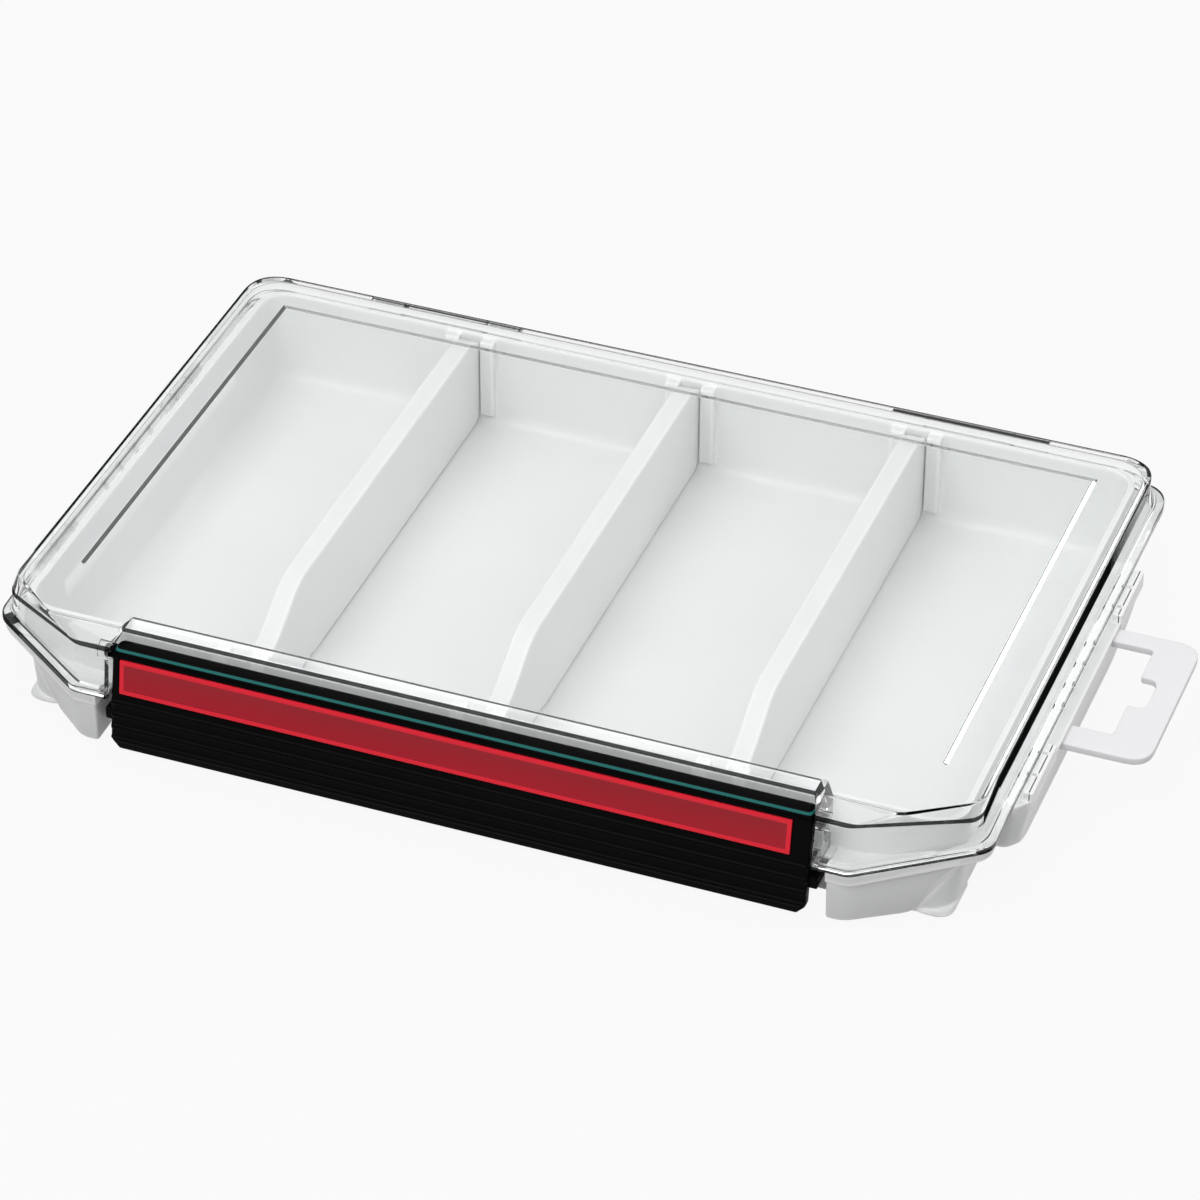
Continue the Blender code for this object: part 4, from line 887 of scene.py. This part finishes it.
# The section's corners are y, z, cut and whether they sink into the recess, carried along x.
# Towards each end the section shrinks to its middle line, which rounds the latch's ends.
def latchShell():
    tip, tall, out = latch["bottom"] + 0.6, latch["ribTall"], latch["ribOut"]
    low, high, deep, reach = latch["recess"]
    corners = [(latchFace(latch["bottom"]), latch["bottom"], 0.5, 0)]
    for z in latch["ribs"]:
        for level, proud, cut in ((z - tall, 0, 0.15), (z - latch["ribHalf"], out, 0.2),
                                  (z + latch["ribHalf"], out, 0.2), (z + tall, 0, 0.15)):
            corners.append((latchFace(level) - proud, level, cut, 0))
    corners += [(latchFace(low), low, 0.1, 0), (latchFace(low), low + 0.02, 0.1, 1),
                (latchFace(high), high - 0.02, 0.1, 1)]
    rise = math.asin((high - latch["z"]) / latch["bead"])
    turn = np.linspace(math.pi - rise, math.pi - rise - math.radians(latch["beadTurn"]), 26)
    corners += [(latch["y"] + latch["bead"] * a, latch["z"] + latch["bead"] * b, 0, 0)
                for a, b in zip(np.cos(turn), np.sin(turn))]
    start = latch["z"] - latch["beadJoin"]
    corners += [(latchFace(start) + latch["thick"], start, 0.6, 0),
                (latchFace(tip) + latch["thick"], latch["bottom"], 0.5, 0)]
    section = np.array(corners)
    arc = np.sin(np.linspace(0, math.pi / 2, 6))
    ends = latch["half"] + latch["endRound"] * (arc - 1)
    inner = np.linspace(latch["half"] - latch["cornerCut"] - 0.3, latch["half"] - 0.6, 5)
    offset = latch["strip"]["shift"] - frontShift
    halves = [np.sort(np.concatenate([[side - 0.03, side], inner, ends, [latch["half"]]]))
              for side in (reach - offset, reach + offset)]
    xs = np.concatenate([-halves[0][::-1], halves[1]])
    pull = np.concatenate([np.zeros(7), latch["endPull"] * (1 - np.sqrt(1 - arc ** 2)), [0.75]])
    pull = np.concatenate([pull[::-1], pull])
    sunk = np.where(np.abs(xs - offset) < reach - 0.01, deep, 0.0)
    lift = np.maximum(np.abs(xs) - (latch["half"] - latch["cornerCut"]), 0.0)
    y, z, cut, mark = (column[None, :] for column in section.T)
    near = np.clip((latch["bottom"] + 2.6 - z) / 2.6, 0, 1) * lift[:, None]
    z = z + near
    y = y + latch["slope"] * near + mark * sunk[:, None]
    over = np.maximum(np.abs(xs) - (latch["half"] - latch["topRound"]), 0.0)
    sink = latch["topRound"] - np.sqrt(np.maximum(latch["topRound"] ** 2 - over ** 2, 0.0))
    z = z - np.maximum(z - latch["z"], 0.0) * sink[:, None] / latch["bead"]
    spineZ = np.clip(z, latch["bottom"] + lift[:, None] + 1.0, latch["z"])
    plate = latchFace(spineZ) + latch["thick"] / 2
    above = np.clip((spineZ - (latch["z"] - 3.0)) / 3.0, 0, 1)
    spineY = plate + (latch["y"] - plate) * above
    y = y + (spineY - y) * pull[:, None]
    z = z + (spineZ - z) * pull[:, None]
    rows = np.stack([np.broadcast_to(xs[:, None] + frontShift, y.shape), y, z,
                     np.broadcast_to(cut, y.shape)], axis=-1)
    steps = np.where(section[:, 2] > 0.05, 2, 0)
    return shellOf(roundOutline(rows, steps))


# The inlay follows the latch's face, with a thin frame round a slightly sunk field.
def stripShell():
    strip = latch["strip"]
    frameWide = strip["frame"]
    zs = np.array([strip["low"], strip["low"] + frameWide, strip["low"] + frameWide + 0.1,
                   strip["high"] - frameWide - 0.1, strip["high"] - frameWide, strip["high"]])
    proud = np.array([0, 0, 1, 1, 0, 0])
    xs = np.array([strip["half"], strip["half"] - frameWide, strip["half"] - frameWide - 0.1])
    xs = np.concatenate([-xs, xs[::-1]]) + strip["shift"]
    inField = np.array([0, 0, 1, 1, 0, 0])
    lows = strip["proud"] - (strip["proud"] - strip["field"]) * proud[None, :] * inField[:, None]
    front = np.stack([np.broadcast_to(xs[:, None], lows.shape), latchFace(zs)[None, :] - lows,
                      np.broadcast_to(zs[None, :], lows.shape), np.full(lows.shape, 0.06)], axis=-1)
    back = front[:, [5, 0]].copy()
    back[..., 1] = latchFace(zs[[5, 0]])[None, :] + strip["deep"]
    rows = np.concatenate([front, back], axis=1)
    return shellOf(roundOutline(rows, (2, 0, 0, 0, 0, 2, 2, 2)))


def stripMaterial():
    strip = latch["strip"]
    material, tree, shader, where, field = mouldedPlastic("redInlay", strip["finish"])
    place = nodeOf(tree, "SeparateXYZ", {0: where}).outputs
    across = mathOf(tree, "SUBTRACT", place["X"], strip["shift"] / 1000)
    upward = mathOf(tree, "SUBTRACT", place["Z"], (strip["low"] + strip["high"]) / 2000)
    reach = (strip["high"] - strip["low"]) / 2000 - strip["frame"] / 1000
    side = mathOf(tree, "GREATER_THAN", mathOf(tree, "ABSOLUTE", across),
                  (strip["half"] - strip["frame"]) / 1000)
    edge = mathOf(tree, "GREATER_THAN", mathOf(tree, "ABSOLUTE", upward), reach)
    framed = mathOf(tree, "MAXIMUM", side, edge)
    fill(tree, shader, {"Base Color": mixOf(tree, framed, field, strip["border"])})
    return material


def makeLatch():
    material, tree, shader, where, colour = mouldedPlastic("blackLatch", latch["finish"])
    # A painted highlight: a thin teal band in the colour along the bead's front shoulder.
    place = nodeOf(tree, "SeparateXYZ", {0: where}).outputs
    low, high = latch["paintedHighlightZ"]
    up = mathOf(tree, "GREATER_THAN", place["Z"], low / 1000)
    down = mathOf(tree, "LESS_THAN", place["Z"], high / 1000)
    ahead = mathOf(tree, "LESS_THAN", place["Y"], latch["y"] / 1000)
    line = mathOf(tree, "MULTIPLY", mathOf(tree, "MULTIPLY", up, down), ahead)
    fill(tree, shader, {"Base Color": mixOf(tree, line, colour, latch["line"])})
    reach, radius = latch["stub"]
    xs = np.array((-reach, 0.3 - reach, reach - 0.3, reach)) + frontShift
    stub = turnedOf(xs, (1.2, radius, radius, 1.2), latch["y"], latch["z"], 28)
    form = latch["hook"]
    low, high, tip = form["low"], form["high"], form["tip"]
    root = latchFace(high) + form["inset"]
    hook = prismOf([(root, low, 0.1), (root, high, 0.1), (tip, high, 0.4), (tip, form["nose"], 0.3),
                    (form["chin"], low, 0.3)], frontShift - form["half"],
                   frontShift + form["half"], 0.25, "wuv")
    shell = joinShells([latchShell(), stub, hook])
    makePiece(objectOf("latchBar", shell), ["latch"], "latch_bar", material)
    inlay = objectOf("inlay", stripShell())
    makePiece(inlay, ["latch_strip"], "latch_bar", stripMaterial())


makeLatch()

tab = {
    "plan": [(105.4, 21.5, 0), (125.0, 21.5, 5), (125.0, -19.0, 5), (105.4, -19.0, 0),
             (105.4, -12.5, 0), (116.0, -12.5, 1.2), (116.0, -2.4, 0.6), (119.7, -2.4, 3.0),
             (119.7, 7.4, 3.0), (116.0, 7.4, 0.6), (116.0, 17.0, 1.2), (105.4, 17.0, 0)],
    "low": 14.7, "high": 16.3, "edge": 0.4,
    "finish": {**moulded, "dark": (0.82, 0.82, 0.835), "light": (0.87, 0.87, 0.885),
               "grainScale": 1800.0, "cloudScale": 36.0, "rough": 0.34, "roughSpread": 0.08,
               "bump": 0.06, "shine": 0.4},
}


def makeTab():
    material = mouldedPlastic("milkyPlastic", tab["finish"])[0]
    shell = prismOf(tab["plan"], tab["low"], tab["high"], tab["edge"], steps=8)
    makePiece(objectOf("hangTab", shell), ["hang_tab"], "tray", material)


makeTab()

pin = {"dark": (0.50, 0.50, 0.51), "light": (0.66, 0.66, 0.67), "drawScale": (40, 5200, 5200),
       "rough": 0.2, "roughSpread": 0.2}


# The pins keep their CAD meshes, and get the fine lines of drawn steel along x.
def makePins():
    material, tree, shader, where = materialOf("drawnSteel")
    stretch = nodeOf(tree, "Mapping", {"Vector": where, "Scale": pin["drawScale"]})
    lines = noiseOf(tree, stretch.outputs["Vector"], 1.0, 2.0)
    fill(tree, shader, {
        "Base Color": mixOf(tree, lines, pin["dark"], pin["light"]), "Metallic": 1.0,
        "Roughness": mathOf(tree, "MULTIPLY_ADD", lines, pin["roughSpread"], pin["rough"])})
    for name in ("hinge_pin_left", "hinge_pin_right"):
        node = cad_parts[name]
        node.data.materials.clear()
        node.data.materials.append(material)
    print("hinge pins finished")


makePins()
